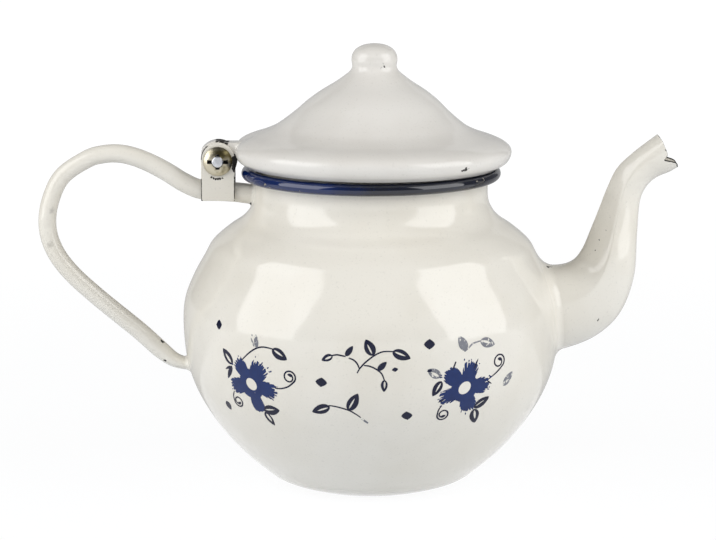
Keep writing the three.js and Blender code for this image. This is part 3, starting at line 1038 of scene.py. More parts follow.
@dataclass
class Handle:
    """The loop handle, a strip rolled into a tube whose seam runs along the inside."""

    pot: Pot
    reach: float = 75.34
    top_height: float = 106.2
    crown_height: float = 121.4
    foot_height: float = 43.5
    foot_run: float = 10.0
    half_width: float = 3.6
    half_thickness: float = 3.25
    wall: float = 0.9
    seam: float = 1.4
    sink: float = 0.45
    handle_shares: tuple = (
        (-0.02, 0.8), (0.09, 0.815), (0.18, 0.821), (0.265, 0.832), (0.342, 0.866), (0.419, 0.913),
        (0.496, 0.953), (0.574, 0.984), (0.651, 1), (0.73, 0.996), (0.806, 0.973), (0.925, 0.893),
        (0.985, 0.775), (1, 0.655), (0.968, 0.545), (0.89, 0.438), (0.757, 0.318), (0.564, 0.163),
    )
    foot_shares: tuple = ((1, 0.064), (0.48, 0.018), (-0.12, 0))
    settle_count: int = 4
    flare_share: float = 0.12
    flare_length_share: float = 0.4
    pinch_share: float = 0.34
    spread_share: float = 0.25
    pinch_length_share: float = 0.09
    top_search: Pair = (0.0, 0.05)  # the shares between which the tube leaves the neck
    foot_search: Pair = (1.0, 0.93)  # and the belly
    top_weld: Pair = (1.8, 1.6)  # its spread on the pot and on the tube
    foot_weld: Pair = (2.2, 2.0)
    steps: int = 190
    side_points: int = 40
    weld_points: int = 64

    def __post_init__(self) -> None:
        """Draws the tube's centre line."""
        rise = self.crown_height - self.foot_height
        foot_x = self.pot.radius_at(self.foot_height)
        start = (self.top_height - self.foot_height) / rise - self.handle_shares[0][1]
        points = []
        for i, (out, up) in enumerate(self.handle_shares):
            up += start * max(0.0, 1 - i / self.settle_count)
            points.append((-self.pot.neck_radius - out * self.reach, self.foot_height + up * rise))
        for out, up in self.foot_shares:
            points.append((-foot_x - out * self.foot_run, self.foot_height + up * rise))
        self.path = Curve(points)
        self.seam_angle = asin(self.seam / 2 / self.half_width)

    def surface(self, share: float, angle: float, wall: float = 0.0) -> Vector:
        """Finds a point of the tube's outside, or of its inside.

        Args:
            share: Along the tube, from the neck to the belly.
            angle: Round it, from 0 at the seam.
            wall: How far inside the outer skin the point lies.

        Returns:
            The point.
        """
        centre = self.path.along(share)
        travel = self.path.direction(share)
        flare = max(0.0, 1 - share / self.flare_length_share)
        pinch = smoothstep(share, 1 - self.pinch_length_share, 1)
        thickness = self.half_thickness * (1 + flare * self.flare_share - pinch * self.pinch_share) - wall
        width = self.half_width * (1 + pinch * self.spread_share) - wall
        sideways, level = width * sin(angle), -thickness * cos(angle)
        return Vector((centre.x + travel.y * level, sideways, centre.y - travel.x * level))

    def build(self, enamel: Material) -> None:
        """Builds the tube and its two welds.

        Args:
            enamel: Their finish.
        """
        angles = []
        for i in range(self.side_points + 1):
            angles.append(self.seam_angle + (tau - 2 * self.seam_angle) * i / self.side_points)
        around = [(angle, 0.0) for angle in angles] + [(angle, self.wall) for angle in reversed(angles)]
        spans = []
        for angle, wall in around:
            skin = partial(self.surface, angle=angle, wall=wall)
            start = self.pot.meets(skin, *self.top_search, self.sink)
            spans.append((start, self.pot.meets(skin, *self.foot_search, self.sink)))
        rings = []
        for i in range(self.steps + 1):
            ring = []
            for (angle, wall), (start, end) in zip(around, spans):
                ring.append(self.surface(start + (end - start) * i / self.steps, angle, wall))
            rings.append(ring)
        add_piece(swept(rings, capped=True), "handle", enamel, ["handle_tube"])
        turns = [i * tau / self.weld_points for i in range(self.weld_points)]
        top = weld_band(self.pot, self.surface, turns, self.top_search, *self.top_weld)
        add_piece(top, "handle_top_weld", enamel)
        foot = weld_band(self.pot, self.surface, turns, self.foot_search, *self.foot_weld)
        add_piece(foot, "handle_foot_weld", enamel)


@dataclass
class Lid:
    """The pressed dome with its rolled brim, knob and locating collar."""

    pot: Pot
    rim: RolledRim
    radius: float = 50.8
    shift: float = 0.1
    crown_rise: float = 35.5
    crown_foot_radius: float = 7.9
    crown_lean: float = 1.1
    lip_radius: float = 46.2
    wall: float = 1.0
    tilt: float = 0.008  # how much the brim rises towards the hinge, in mm per mm
    dent: float = 2.0
    dent_angle: float = 0.2
    knob_radius: float = 8.3
    knob_height: float = 8.9
    knob_wall: float = 1.2
    knob_weld: float = 2.0
    collar_clearance: float = 1.6
    collar_depth: float = 6.8
    collar_wall: float = 0.9
    seat_gap: float = 0.3
    facets: int = 224
    crown_shares: tuple = (
        (0.19, 0.954), (0.27, 0.867), (0.38, 0.765), (0.47, 0.663), (0.545, 0.56), (0.625, 0.463),
        (0.7, 0.387), (0.8, 0.323),
    )
    brim_shares: tuple = ((0.9, 0.275), (0.966, 0.229), (0.998, 0.178), (0.996, 0.116), (0.97, 0.055))
    knob_shares: tuple = ((0.965, 0.1), (1, 0.32), (0.965, 0.55), (0.8, 0.768), (0.47, 0.93))

    def __post_init__(self) -> None:
        """Works out the heights and the dome's profile."""
        ring_height = self.pot.mouth_height - self.pot.wall / 2
        self.lip_height = ring_height + self.rim.tube_radius + self.seat_gap
        self.crown_top = self.lip_height + self.crown_rise
        points = [(self.crown_foot_radius, self.crown_top)]
        for out, up in (*self.crown_shares, *self.brim_shares):
            points.append((out * self.radius, self.lip_height + up * self.crown_rise))
        points.append((self.lip_radius, self.lip_height))
        self.profile = Curve(points).samples(96)

    def settle(self, bm: BMesh) -> None:
        """Moves turned points to their place: off centre, leaning at the crown, pressed in at the hinge.

        Args:
            bm: The turned mesh.
        """
        lean_start = self.lip_height + self.crown_rise * self.brim_shares[0][1]
        brim_start = self.radius * self.crown_shares[-1][0]
        for vert in bm.verts:
            lean = self.crown_lean * smoothstep(vert.co.z, lean_start, self.crown_top)
            angle = atan2(vert.co.y, -vert.co.x)
            on_brim = smoothstep(hypot(vert.co.x, vert.co.y), brim_start, self.lip_radius)
            dent = self.dent * on_brim * exp(-((angle / self.dent_angle) ** 2))
            on_foot = 1 - smoothstep(vert.co.z, lean_start, self.crown_top)
            vert.co.z += self.tilt * (self.radius - vert.co.x) * on_foot
            vert.co.x += self.shift + lean + dent

    def brim_x(self, height: float, y: float) -> float:
        """Gives where the brim's outside stands on the hinge's side.

        Args:
            height: Above the table.
            y: From the middle plane.

        Returns:
            The place along X.
        """
        rolled = [point for point in self.profile if point.x > self.lip_radius]
        height = height - self.tilt * 2 * self.radius
        point = min(rolled, key=lambda candidate: abs(candidate.y - height) - candidate.x * 0.001)
        radius = point.x
        angle = atan2(y, sqrt(radius**2 - y**2))
        dent = self.dent * exp(-((angle / self.dent_angle) ** 2))
        return -sqrt(radius**2 - y**2) + self.shift + dent

    def build(self, enamel: Material) -> None:
        """Builds the dome, the knob and the collar.

        Args:
            enamel: Their finish.
        """
        inner = offset(self.profile, -self.wall)
        inner[0].y = self.crown_top
        lip = (self.profile[-1] + inner[-1]) / 2 + Vector((-self.wall * 0.4, 0))
        shell = turned([*self.profile, lip, *reversed(inner)], self.facets, closed=True)
        self.settle(shell)
        add_piece(shell, "lid_dome", enamel, ["lid_shell"], Body.LID, Slot.LID)
        add_piece(self.knob(), "knob", enamel, ["lid_knob"], Body.LID, Slot.LID)
        add_piece(self.collar(inner), "collar", enamel, ["lid_collar"], Body.LID, Slot.LID)

    def knob(self) -> BMesh:
        """Spins the hollow knob, with its weld on the crown.

        Returns:
            A closed mesh.
        """
        foot = self.crown_top + self.seat_gap
        shaped = [(out * self.knob_radius, foot + up * self.knob_height) for out, up in self.knob_shares]
        outer = Curve([(self.crown_foot_radius, foot), *shaped, (0, foot + self.knob_height)]).samples(44)
        spread = min(self.profile, key=lambda point: abs(point.x - self.crown_foot_radius - self.knob_weld))
        weld_foot = spread + Vector((0, 0.02))
        corner = Vector((self.crown_foot_radius + 0.05, self.crown_top - 0.25))
        waist = 8
        weld = []
        for i in range(14):
            t = i / 14
            weld.append(weld_foot * (1 - t) ** 2 + corner * 2 * t * (1 - t) + outer[waist] * t**2)
        inside = offset(outer, self.knob_wall)
        inside[0].y = foot - 0.5
        inside[-1].x = 0
        outline = [
            *reversed(inside),
            Vector((self.crown_foot_radius - 0.2, self.crown_top - 0.7)),
            weld_foot - Vector((0, 0.6)),
            *weld,
            *outer[waist:],
        ]
        bm = turned(outline, 96)
        bmesh.ops.translate(bm, vec=(self.shift + self.crown_lean, 0, 0), verts=bm.verts[:])
        return bm

    def collar(self, inner: Ring) -> BMesh:
        """Spins the ring that locates the lid in the mouth.

        Args:
            inner: The dome's inner profile.

        Returns:
            The ring.
        """
        outside = self.pot.neck_radius - self.pot.wall - self.collar_clearance
        inside = outside - self.collar_wall
        edge = self.lip_radius + 1.0
        rolled = [point for point in inner if point.x > edge]
        under = rolled[-1].y + self.seat_gap * 0.6
        corners = [
            (inside, self.lip_height - self.collar_depth),
            (outside, self.lip_height - self.collar_depth),
            (outside, under),
            (edge, under),
            (edge, under + self.collar_wall),
            (inside, under + self.collar_wall),
        ]
        bm = turned([Vector(corner) for corner in corners], 160, closed=True)
        round_edges(bm, 0.3)
        self.settle(bm)
        return bm


@dataclass
class Hinge:
    """The ears on the handle, the pin with its push-on caps, and the lid's folded lug."""

    lid: Lid
    handle: Handle
    standoff: float = 4.8
    rise: float = 2.3
    pin_radius: float = 2.0
    pin_chamfer: float = 0.3
    pin_tail: float = 2.7
    ear_inside: float = 3.9
    ear_thickness: float = 1.0
    ear_half_width: float = 6.1
    ear_top: float = 6.8
    ear_lap: float = 1.5
    bore_radius: float = 2.3
    lug_radius: float = 7.1
    lug_sheet: float = 0.9
    lug_outside: float = 3.6
    lug_back: float = 6.0
    tongue_top: float = 6.5
    tongue_bottom: float = 1.6
    cap_radius: float = 5.3
    cap_rise: float = 1.6
    cap_thickness: float = 0.6
    cap_slot_width: float = 1.8
    cap_slot_reach: float = 3.8
    cap_slot_low_reach: float = 2.8  # the slots above and below the pin are shorter
    cap_gap: float = 0.3
    cap_grip: float = 0.15  # how much smaller the cap's hole is than the bore
    cap_slot_softness: float = 0.18
    cap_bevel: float = 0.12
    lug_top_wear: tuple = (54, 62, 94, 104)  # degrees round the pin
    # below and beside the pin the cheeks are dark partly from wear and partly from a painted shade of the gap
    # by the ears
    lug_low_wear_and_shade: tuple = (-75, -55, 14, 20)
    lug_wear_and_shade: float = 0.9
    lug_near_wear: float = 0.62
    ear_back_wear: tuple = (-0.5, 0.5, 5.2, 5.9)  # heights from the pin, on the edge towards the grip
    ear_front_wear_and_shade: tuple = (-4.6, -3.6, 1.4, 2.2)  # and on the edge towards the lid, partly a painted shade of the gap by the lug

    def __post_init__(self) -> None:
        """Places the pin's axis."""
        self.pin_x = self.lid.shift - self.lid.radius - self.standoff
        self.pin_height = self.lid.lip_height + self.rise
        self.ear_outside = self.ear_inside + self.ear_thickness

    def plate(self, outline: Ring, y: float, thickness: float, rounding: float) -> BMesh:
        """Makes a flat sheet with the pin's bore.

        Args:
            outline: Its outer edge round the pin, from the pin's axis.
            y: Where its near face lies.
            thickness: The sheet's thickness, towards the far side.
            rounding: The radius that the enamel leaves on the edges.

        Returns:
            A closed mesh.
        """
        rings = []
        circles = (self.bore_radius, self.cap_radius - 0.9, self.cap_radius - 0.5)
        for radius, inset in (*((radius, 0.0) for radius in circles), (None, 0.45), (None, 0.0)):
            ring = []
            for point in outline:
                way = point.normalized()
                shrink = 1 - inset / self.ear_half_width
                edge = Vector((point.x * shrink, point.y * (1 + shrink) / 2))
                flat = edge if radius is None else way * radius
                ring.append(Vector((self.pin_x + flat.x, y, self.pin_height + flat.y)))
            rings.append(ring)
        bm = bmesh.new()
        sweep(bm, rings, closed=True)
        grown = bmesh.ops.extrude_face_region(bm, geom=bm.faces[:], use_keep_orig=True)["geom"]
        moved = [item for item in grown if isinstance(item, bmesh.types.BMVert)]
        bmesh.ops.translate(bm, vec=(0, thickness, 0), verts=moved)
        bmesh.ops.recalc_face_normals(bm, faces=bm.faces[:])
        round_edges(bm, rounding)
        return bm

    def ear_outline(self) -> Ring:
        """Draws an ear's edge: straight sides and a round top.

        Returns:
            The edge round the pin, from its axis.
        """
        below = self.handle.top_height - self.ear_lap - self.pin_height
        round_height = self.ear_top - self.ear_half_width
        outline = arc((0, round_height), self.ear_half_width, 0, pi, 40)
        for i in range(1, 13):
            outline.append(Vector((-self.ear_half_width, round_height + (below - round_height) * i / 12)))
        for i in range(1, 12):
            outline.append(Vector((self.ear_half_width * (i / 6 - 1), below)))
        for i in range(12):
            outline.append(Vector((self.ear_half_width, below + (round_height - below) * i / 12)))
        return outline

    def cap(self, side: Side) -> BMesh:
        """Builds a domed push-on cap whose slotted hole grips the pin.

        Args:
            side: Which cap.

        Returns:
            A closed mesh.
        """
        turns = 160
        hole, half, soft = self.bore_radius - self.cap_grip, self.cap_slot_width / 2, self.cap_slot_softness
        holes = []
        for i in range(turns):
            angle = i * tau / turns
            slot = min(abs(((angle + pi / 4) % (pi / 2)) - pi / 4), pi / 4)
            level = abs(cos(angle)) > abs(sin(angle))
            reach = self.cap_slot_reach if level else self.cap_slot_low_reach
            holes.append(hole + (reach - hole) * smoothstep(reach * sin(slot), half + soft, half - soft))
        rings = []
        outside = side.value * (self.ear_outside + self.cap_gap)
        for skin, order in ((self.cap_thickness, range(15)), (0.0, range(14, -1, -1))):
            for k in order:
                share = k / 14
                ring = []
                for i, end in enumerate(holes):
                    angle = i * tau / turns
                    radius = self.cap_radius + (end - self.cap_radius) * share
                    radius -= 0 if skin else self.cap_bevel * (1 - share)
                    across = (self.cap_radius - radius) / (self.cap_radius - self.bore_radius)
                    height = self.cap_rise * sin(pi / 2 * min(max(across, 0.0), 1.0)) ** 0.8 + skin
                    x, z = radius * cos(angle), radius * sin(angle)
                    ring.append(Vector((self.pin_x + x, outside + side.value * height, self.pin_height + z)))
                rings.append(ring)
        return swept(rings, capped=False)

    def pin(self) -> BMesh:
        """Turns the pin.

        Returns:
            A closed mesh.
        """
        half = self.ear_outside + self.pin_tail
        outline = [
            Vector((0, -half)),
            Vector((self.pin_radius - self.pin_chamfer, -half + 0.04)),
            Vector((self.pin_radius, self.pin_chamfer - half)),
            Vector((self.pin_radius, half - self.pin_chamfer)),
            Vector((self.pin_radius - self.pin_chamfer, half - 0.04)),
            Vector((0, half)),
        ]
        bm = turned(outline, 64)
        bmesh.ops.rotate(bm, cent=(0, 0, 0), matrix=Matrix.Rotation(pi / 2, 3, "X"), verts=bm.verts[:])
        bmesh.ops.translate(bm, vec=(self.pin_x, 0, self.pin_height), verts=bm.verts[:])
        return bm

    def cheek_outline(self) -> Ring:
        """Draws the edge of one of the lug's cheeks, which runs on as a tongue to the brim.

        Returns:
            The edge round the pin, from its axis.
        """
        radius = self.lug_radius - 0.15
        top = self.tongue_top - 0.15
        start, end = asin(self.tongue_bottom / radius), asin(top / radius)
        outline = []
        for i in range(96):
            angle = i * tau / 96
            away = radius
            if start < angle < end:
                away = top / sin(angle)
                for k in range(40):
                    tried = radius + k * 0.05
                    brim = self.lid.brim_x(self.pin_height + tried * sin(angle), self.lug_outside)
                    if self.pin_x + tried * cos(angle) > brim + 0.55:
                        away = min(away, tried)
                        break
            if cos(angle) < 0:
                away = min(away, self.lug_back / -cos(angle))
            outline.append(Vector((away * cos(angle), away * sin(angle))))
        return outline

    def web(self) -> BMesh:
        """Bends the strip that joins the lug's cheeks over the pin.

        Returns:
            A closed mesh.
        """
        back = pi - acos(self.lug_back / self.lug_radius)
        upper = asin(self.tongue_top / self.lug_radius)
        rings = []
        for i in range(29):
            angle = back + (upper - back) * i / 28
            ring = []
            for radius, y in self.web_corners():
                away = self.lug_radius - radius
                ring.append(
                    Vector((self.pin_x + away * cos(angle), y, self.pin_height + away * sin(angle)))
                )
            rings.append(ring)
        height = self.pin_height + self.tongue_top
        reach = self.lid.brim_x(height, 0) + 0.9
        start = self.pin_x + sqrt(self.lug_radius**2 - self.tongue_top**2)
        for i in range(1, 9):
            x = start + (reach - start) * i / 8
            rings.append([Vector((x, y, height - depth)) for depth, y in self.web_corners()])
        bm = swept(rings, capped=True)
        round_edges(bm, 0.25)
        return bm

    def web_corners(self) -> list[Pair]:
        """Gives the strip's section, as depth below its outside and place across it."""
        wide, deep = self.lug_outside, self.lug_sheet
        return [(0.0, -wide), (0.0, wide), (deep, wide), (deep, -wide)]

    def lug(self) -> BMesh:
        """Joins the cheeks and the web.

        Returns:
            A closed mesh, with the attribute "bare" where it rubs, and also below and beside the pin, where
            it is partly a painted shade.
        """
        outline = self.cheek_outline()
        near = self.plate(outline, -self.lug_outside, self.lug_sheet, 0.18)
        far = self.plate(outline, self.lug_outside - self.lug_sheet, self.lug_sheet, 0.18)
        bm = cut("lug", cut("lug", self.web(), near, "UNION"), far, "UNION")
        bare = bm.verts.layers.float.new("bare")
        for vert in bm.verts:
            angle = degrees(atan2(vert.co.z - self.pin_height, vert.co.x - self.pin_x))
            top = within(angle, self.lug_top_wear) * (1.0 if vert.co.y > 0 else self.lug_near_wear)
            vert[bare] = self.lug_wear_and_shade * max(top, within(angle, self.lug_low_wear_and_shade))
        return bm

    def ear(self, side: Side) -> BMesh:
        """Builds an ear whose enamel has worn off its upright edges, with a painted shade along part of the
        edge towards the lid.

        Args:
            side: Which ear.

        Returns:
            A closed mesh, with the attribute "bare" along its edges.
        """
        y = self.ear_inside if side is Side.FAR else -self.ear_outside
        bm = self.plate(self.ear_outline(), y, self.ear_thickness, 0.22)
        bare = bm.verts.layers.float.new("bare")
        for vert in bm.verts:
            across = (vert.co.x - self.pin_x) / self.ear_half_width
            rise = vert.co.z - self.pin_height
            away = hypot(vert.co.x - self.pin_x, rise)
            above = max(rise - self.ear_top + self.ear_half_width, 0.0)
            line = smoothstep(hypot(across, above / self.ear_half_width), 0.95, 0.962)
            if across < 0:
                upper = within(rise, self.ear_back_wear)
                worn = max(upper, smoothstep(rise, -6.0, -7.0)) * 0.85 * line
            else:
                # towards the lid this dark band is worn iron and partly a painted shade of the gap by the lug
                rubbed_and_shaded = within(rise, self.ear_front_wear_and_shade)
                worn = max(rubbed_and_shaded * smoothstep(across, 0.9, 0.92), 0.62 * line * smoothstep(rise, -4.0, -5.0))
            ring = smoothstep(away, self.cap_radius - 0.6, self.cap_radius - 0.85)
            vert[bare] = max(worn, ring)
        return bm

    def tongue_weld(self) -> BMesh:
        """Fills between the lug's tongue and the dent in the lid's brim.

        Returns:
            A closed mesh.
        """
        start = self.pin_x + 5.4
        rings = []
        for k in range(9):
            share = k / 8
            flare = share**2
            ring = []
            for i in range(40):
                angle = i * tau / 40
                level, side = sin(angle), cos(angle)
                level = copysign(abs(level) ** 0.4, level)
                side = copysign(abs(side) ** 0.4, side)
                middle = (self.tongue_top + self.tongue_bottom) / 2
                half = (self.tongue_top - self.tongue_bottom) / 2 - 0.12
                rise = middle + half * level + (0.8 * flare if level > 0 else 0.0)
                wide = self.lug_outside - 0.12 + 1.3 * flare * smoothstep(rise, 2.2, 4.6)
                height = self.pin_height + rise
                end = self.lid.brim_x(height, wide * side) + 0.8
                ring.append(Vector((start + (end - start) * share, wide * side, height)))
            rings.append(ring)
        return swept(rings, capped=True)

    def build(
        self, pot_enamel: Material, ear_enamel: Material, lug_enamel: Material,
        steel: Material, nickel: Material,
    ) -> None:
        """Builds the hinge's pieces.

        Args:
            pot_enamel: The finish of the welds.
            ear_enamel: The ears' finish.
            lug_enamel: The lug's finish.
            steel: The pin's metal.
            nickel: The caps' metal.
        """
        for side in Side:
            name = side.name.lower()
            add_piece(self.ear(side), f"ear_{name}", ear_enamel, [f"hinge_ear_{name}"])
            add_piece(self.cap(side), f"cap_{name}", nickel, [f"pin_cap_{name}"], slot=Slot.CAP)
        add_piece(self.pin(), "pin", steel, ["hinge_pin"], slot=Slot.PIN)
        add_piece(self.lug(), "lug", lug_enamel, ["lid_hinge_lug"], Body.LID, Slot.LID)
        add_piece(self.tongue_weld(), "tongue_weld", lug_enamel, (), Body.LID, Slot.LID)
        add_piece(self.ear_weld(), "ear_weld", pot_enamel)

    def ear_weld(self) -> BMesh:
        """Fills between the handle and the ears, where they are welded.

        Returns:
            A mesh of two closed fillings.
        """
        bm = bmesh.new()
        handle = self.handle
        for side in Side:
            rings = []
            for i in range(25):
                x = self.pin_x + self.ear_half_width * 0.94 * (i / 12 - 1)
                share = crossing(lambda value: x - handle.path.along(value).x, 0.0, 0.2)
                ring = []
                for level in (-1.35, 0.0, 1.9):
                    height = handle.path.along(share).y + level
                    ring.append(Vector((x, side.value * (handle.half_width - 0.5), height)))
                for level in (1.9, 0.0, -1.35):
                    height = handle.path.along(share).y + level
                    ring.append(Vector((x, side.value * (self.ear_inside + 0.2), height)))
                rings.append(ring)
            for end in sweep(bm, rings, closed=True):
                bm.faces.new(end)
        bmesh.ops.recalc_face_normals(bm, faces=bm.faces[:])
        round_edges(bm, 0.15)
        return bm


class Ink(Enum):
    """The tones that the transfer print has."""

    LINE = "line"
    PETAL = "petal"
    FADED = "faded"


class Outline(Enum):
    """The shapes that a printed mark can have."""

    LEAF = "leaf"
    DIAMOND = "diamond"


@dataclass(frozen=True)
class Leaf:
    """A printed leaf or diamond, from its base to its tip, open inside where slit is above 0."""

    base: Pair
    tip: Pair
    width: float
    slit: float = 0.0
    ink: Ink = Ink.LINE
    shape: Outline = Outline.LEAF


@dataclass(frozen=True)
class Stem:
    """A printed line through points."""

    points: tuple[Pair, ...]
    width: float = 0.58
    ink: Ink = Ink.LINE


@dataclass(frozen=True)
class Curl:
    """A printed line that winds into a spiral and ends in a drop."""

    lead: tuple[Pair, ...]
    centre: Pair
    turns: float = 1.45
    width: float = 0.6
    ink: Ink = Ink.LINE


@dataclass(frozen=True)
class Petal:
    """A petal: its direction and half width in degrees, its reach, and how ragged its end is."""

    angle: float
    reach: float
    half: float
    ragged: float


@dataclass(frozen=True)
class Bloom:
    """A printed flower: brushed petals round a bare oval eye."""

    petals: tuple[Petal, ...]
    eye: Triple  # half length, half width and slant in degrees
    valley: float
    seed: int
    ink: Ink = Ink.PETAL


@dataclass(frozen=True)
class Motif:
    """A group of printed marks, placed on the belly by its own middle."""

    name: str
    angle: float
    height: float
    marks: tuple


MOTIFS = (
    Motif("flower_left", -38.9, 46.7, (
        Bloom(
            (
                Petal(126, 10.3, 18, 0.45), Petal(55, 9.8, 25, 0.8), Petal(-11, 10.5, 20, 0.85),
                Petal(-81, 10.8, 17, 0.0), Petal(192, 10.2, 20, 0.6),
            ),
            (2.5, 2.1, -36), 5.5, 3,
        ),
        Leaf((-8.4, 6.2), (-13.4, 11.3), 3.6, 0.42), Leaf((-8.9, 5.6), (-11.6, 0.6), 1.9),
        Leaf((-9.4, 5.4), (-12.6, 3.9), 0.9),
        Stem(((-3.6, 8.5), (0.0, 11.5), (3.3, 13.5), (6.4, 14.3), (10.3, 14.0))),
        Leaf((10.0, 13.9), (15.9, 10.6), 3.8, 0.28), Leaf((3.5, 13.5), (3.0, 18.5), 1.9, ink=Ink.FADED),
        Leaf((2.4, 13.9), (0.9, 17.0), 0.7, ink=Ink.FADED),
        Leaf((1.5, 17.6), (1.2, 18.3), 0.5, ink=Ink.FADED),
        Curl(((10.2, -0.3), (12.9, -0.1), (15.7, 0.9), (18.0, 2.7)), (16.5, 4.4)),
        Curl(((-9.4, -4.0), (-10.4, -6.0), (-10.5, -7.9)), (-8.4, -8.0)),
        Leaf((3.2, -9.8), (10.1, -9.0), 4.1, 0.2), Leaf((3.4, -10.5), (5.7, -16.2), 2.8, 0.55),
        Leaf((-15.9, -9.2), (-14.6, -12.8), 3.0),
        Leaf((-15.6, 17.7), (-16.0, 21.2), 3.3, shape=Outline.DIAMOND),
    )),
    Motif("flower_right", 29.0, 46.8, (
        Bloom(
            (
                Petal(138, 10.2, 21, 0.35), Petal(74, 9.5, 21, 0.8), Petal(2, 10.3, 20, 0.8),
                Petal(-70, 9.8, 22, 0.35), Petal(204, 9.5, 20, 0.9),
            ),
            (2.6, 2.2, 40), 5.3, 11,
        ),
        Leaf((3.2, 6.6), (4.9, 10.3), 0.7), Leaf((-7.6, -3.8), (-9.9, -4.7), 0.6),
        Leaf((9.4, 1.6), (11.6, 0.2), 0.6), Stem(((-5.4, 7.0), (-4.2, 10.0)), 0.6),
        Stem(((-0.9, 13.3), (0.9, 14.6), (2.7, 15.9), (5.9, 16.5)), ink=Ink.FADED),
        Leaf((-0.1, 13.6), (-3.1, 19.0), 3.5, ink=Ink.FADED),
        Leaf((5.7, 16.5), (12.1, 14.5), 3.6, 0.34, ink=Ink.FADED),
        Curl(((10.0, 2.2), (12.5, 3.6), (14.4, 4.9), (15.9, 6.2)), (14.4, 8.2)),
        Curl(((-8.1, -6.0), (-9.0, -7.8), (-9.1, -9.6)), (-7.0, -9.9)),
        Leaf((-9.8, 4.9), (-14.8, 7.9), 3.4, 0.4, ink=Ink.FADED), Leaf((-13.1, 7.6), (-15.0, 7.3), 1.1),
        Leaf((-9.4, 3.4), (-12.2, -2.1), 3.3, 0.28), Leaf((5.2, -8.5), (11.3, -4.7), 3.5, 0.16),
        Leaf((5.4, -9.0), (7.5, -15.3), 4.0, 0.34),
        Leaf((-16.3, 17.0), (-12.2, 16.8), 3.7, shape=Outline.DIAMOND),
        Leaf((17.4, -1.4), (21.7, 3.4), 3.2, ink=Ink.FADED),
    )),
    Motif("sprig_upper", -3.6, 55.9, (
        Stem(((-0.8, -1.9), (0.1, -0.3), (1.7, 1.6), (3.9, 3.5), (6.0, 4.9), (8.4, 5.8), (11.8, 5.8)), 0.56),
        Leaf((11.5, 5.8), (17.9, 3.1), 3.7, 0.26), Leaf((4.9, 4.4), (2.2, 10.1), 3.8, 0.22),
        Stem(((0.0, -0.2), (-0.8, 1.6), (-2.0, 2.8), (-3.7, 3.5))),
        Stem(((-4.8, 4.0), (-6.3, 4.3), (-7.9, 4.5), (-9.6, 4.2))),
        Leaf((-9.3, 4.2), (-13.3, 2.3), 2.5, 0.42), Leaf((-4.8, 4.1), (-2.2, 7.8), 2.0),
        Stem(((1.6, 0.9), (3.3, 0.7), (4.9, 0.1), (6.5, -0.9), (7.8, -2.2), (8.7, -4.5)), 0.56),
        Leaf((8.7, -4.3), (8.5, -8.8), 2.4, 0.4), Leaf((6.4, -0.9), (9.5, 2.2), 2.1),
        Leaf((11.3, -0.8), (13.5, -0.5), 1.6, shape=Outline.DIAMOND),
    )),
    Motif("sprig_lower", -7.9, 40.4, (
        Stem(((-6.1, 1.3), (-4.0, 1.1), (-1.5, 0.5), (1.1, -0.4), (3.2, -1.7), (5.1, -3.3)), 0.56),
        Leaf((-5.6, 0.9), (-12.2, -1.7), 3.8, 0.24), Leaf((0.9, -0.5), (4.5, 6.3), 3.8, 0.22),
        Stem(((5.0, -3.2), (6.2, -4.5), (7.5, -5.7)), 0.8, ink=Ink.FADED),
        Leaf((-10.5, 10.3), (-6.3, 9.8), 3.5, shape=Outline.DIAMOND),
        Leaf((19.3, -2.9), (23.3, -2.6), 3.6, shape=Outline.DIAMOND),
    )),
)


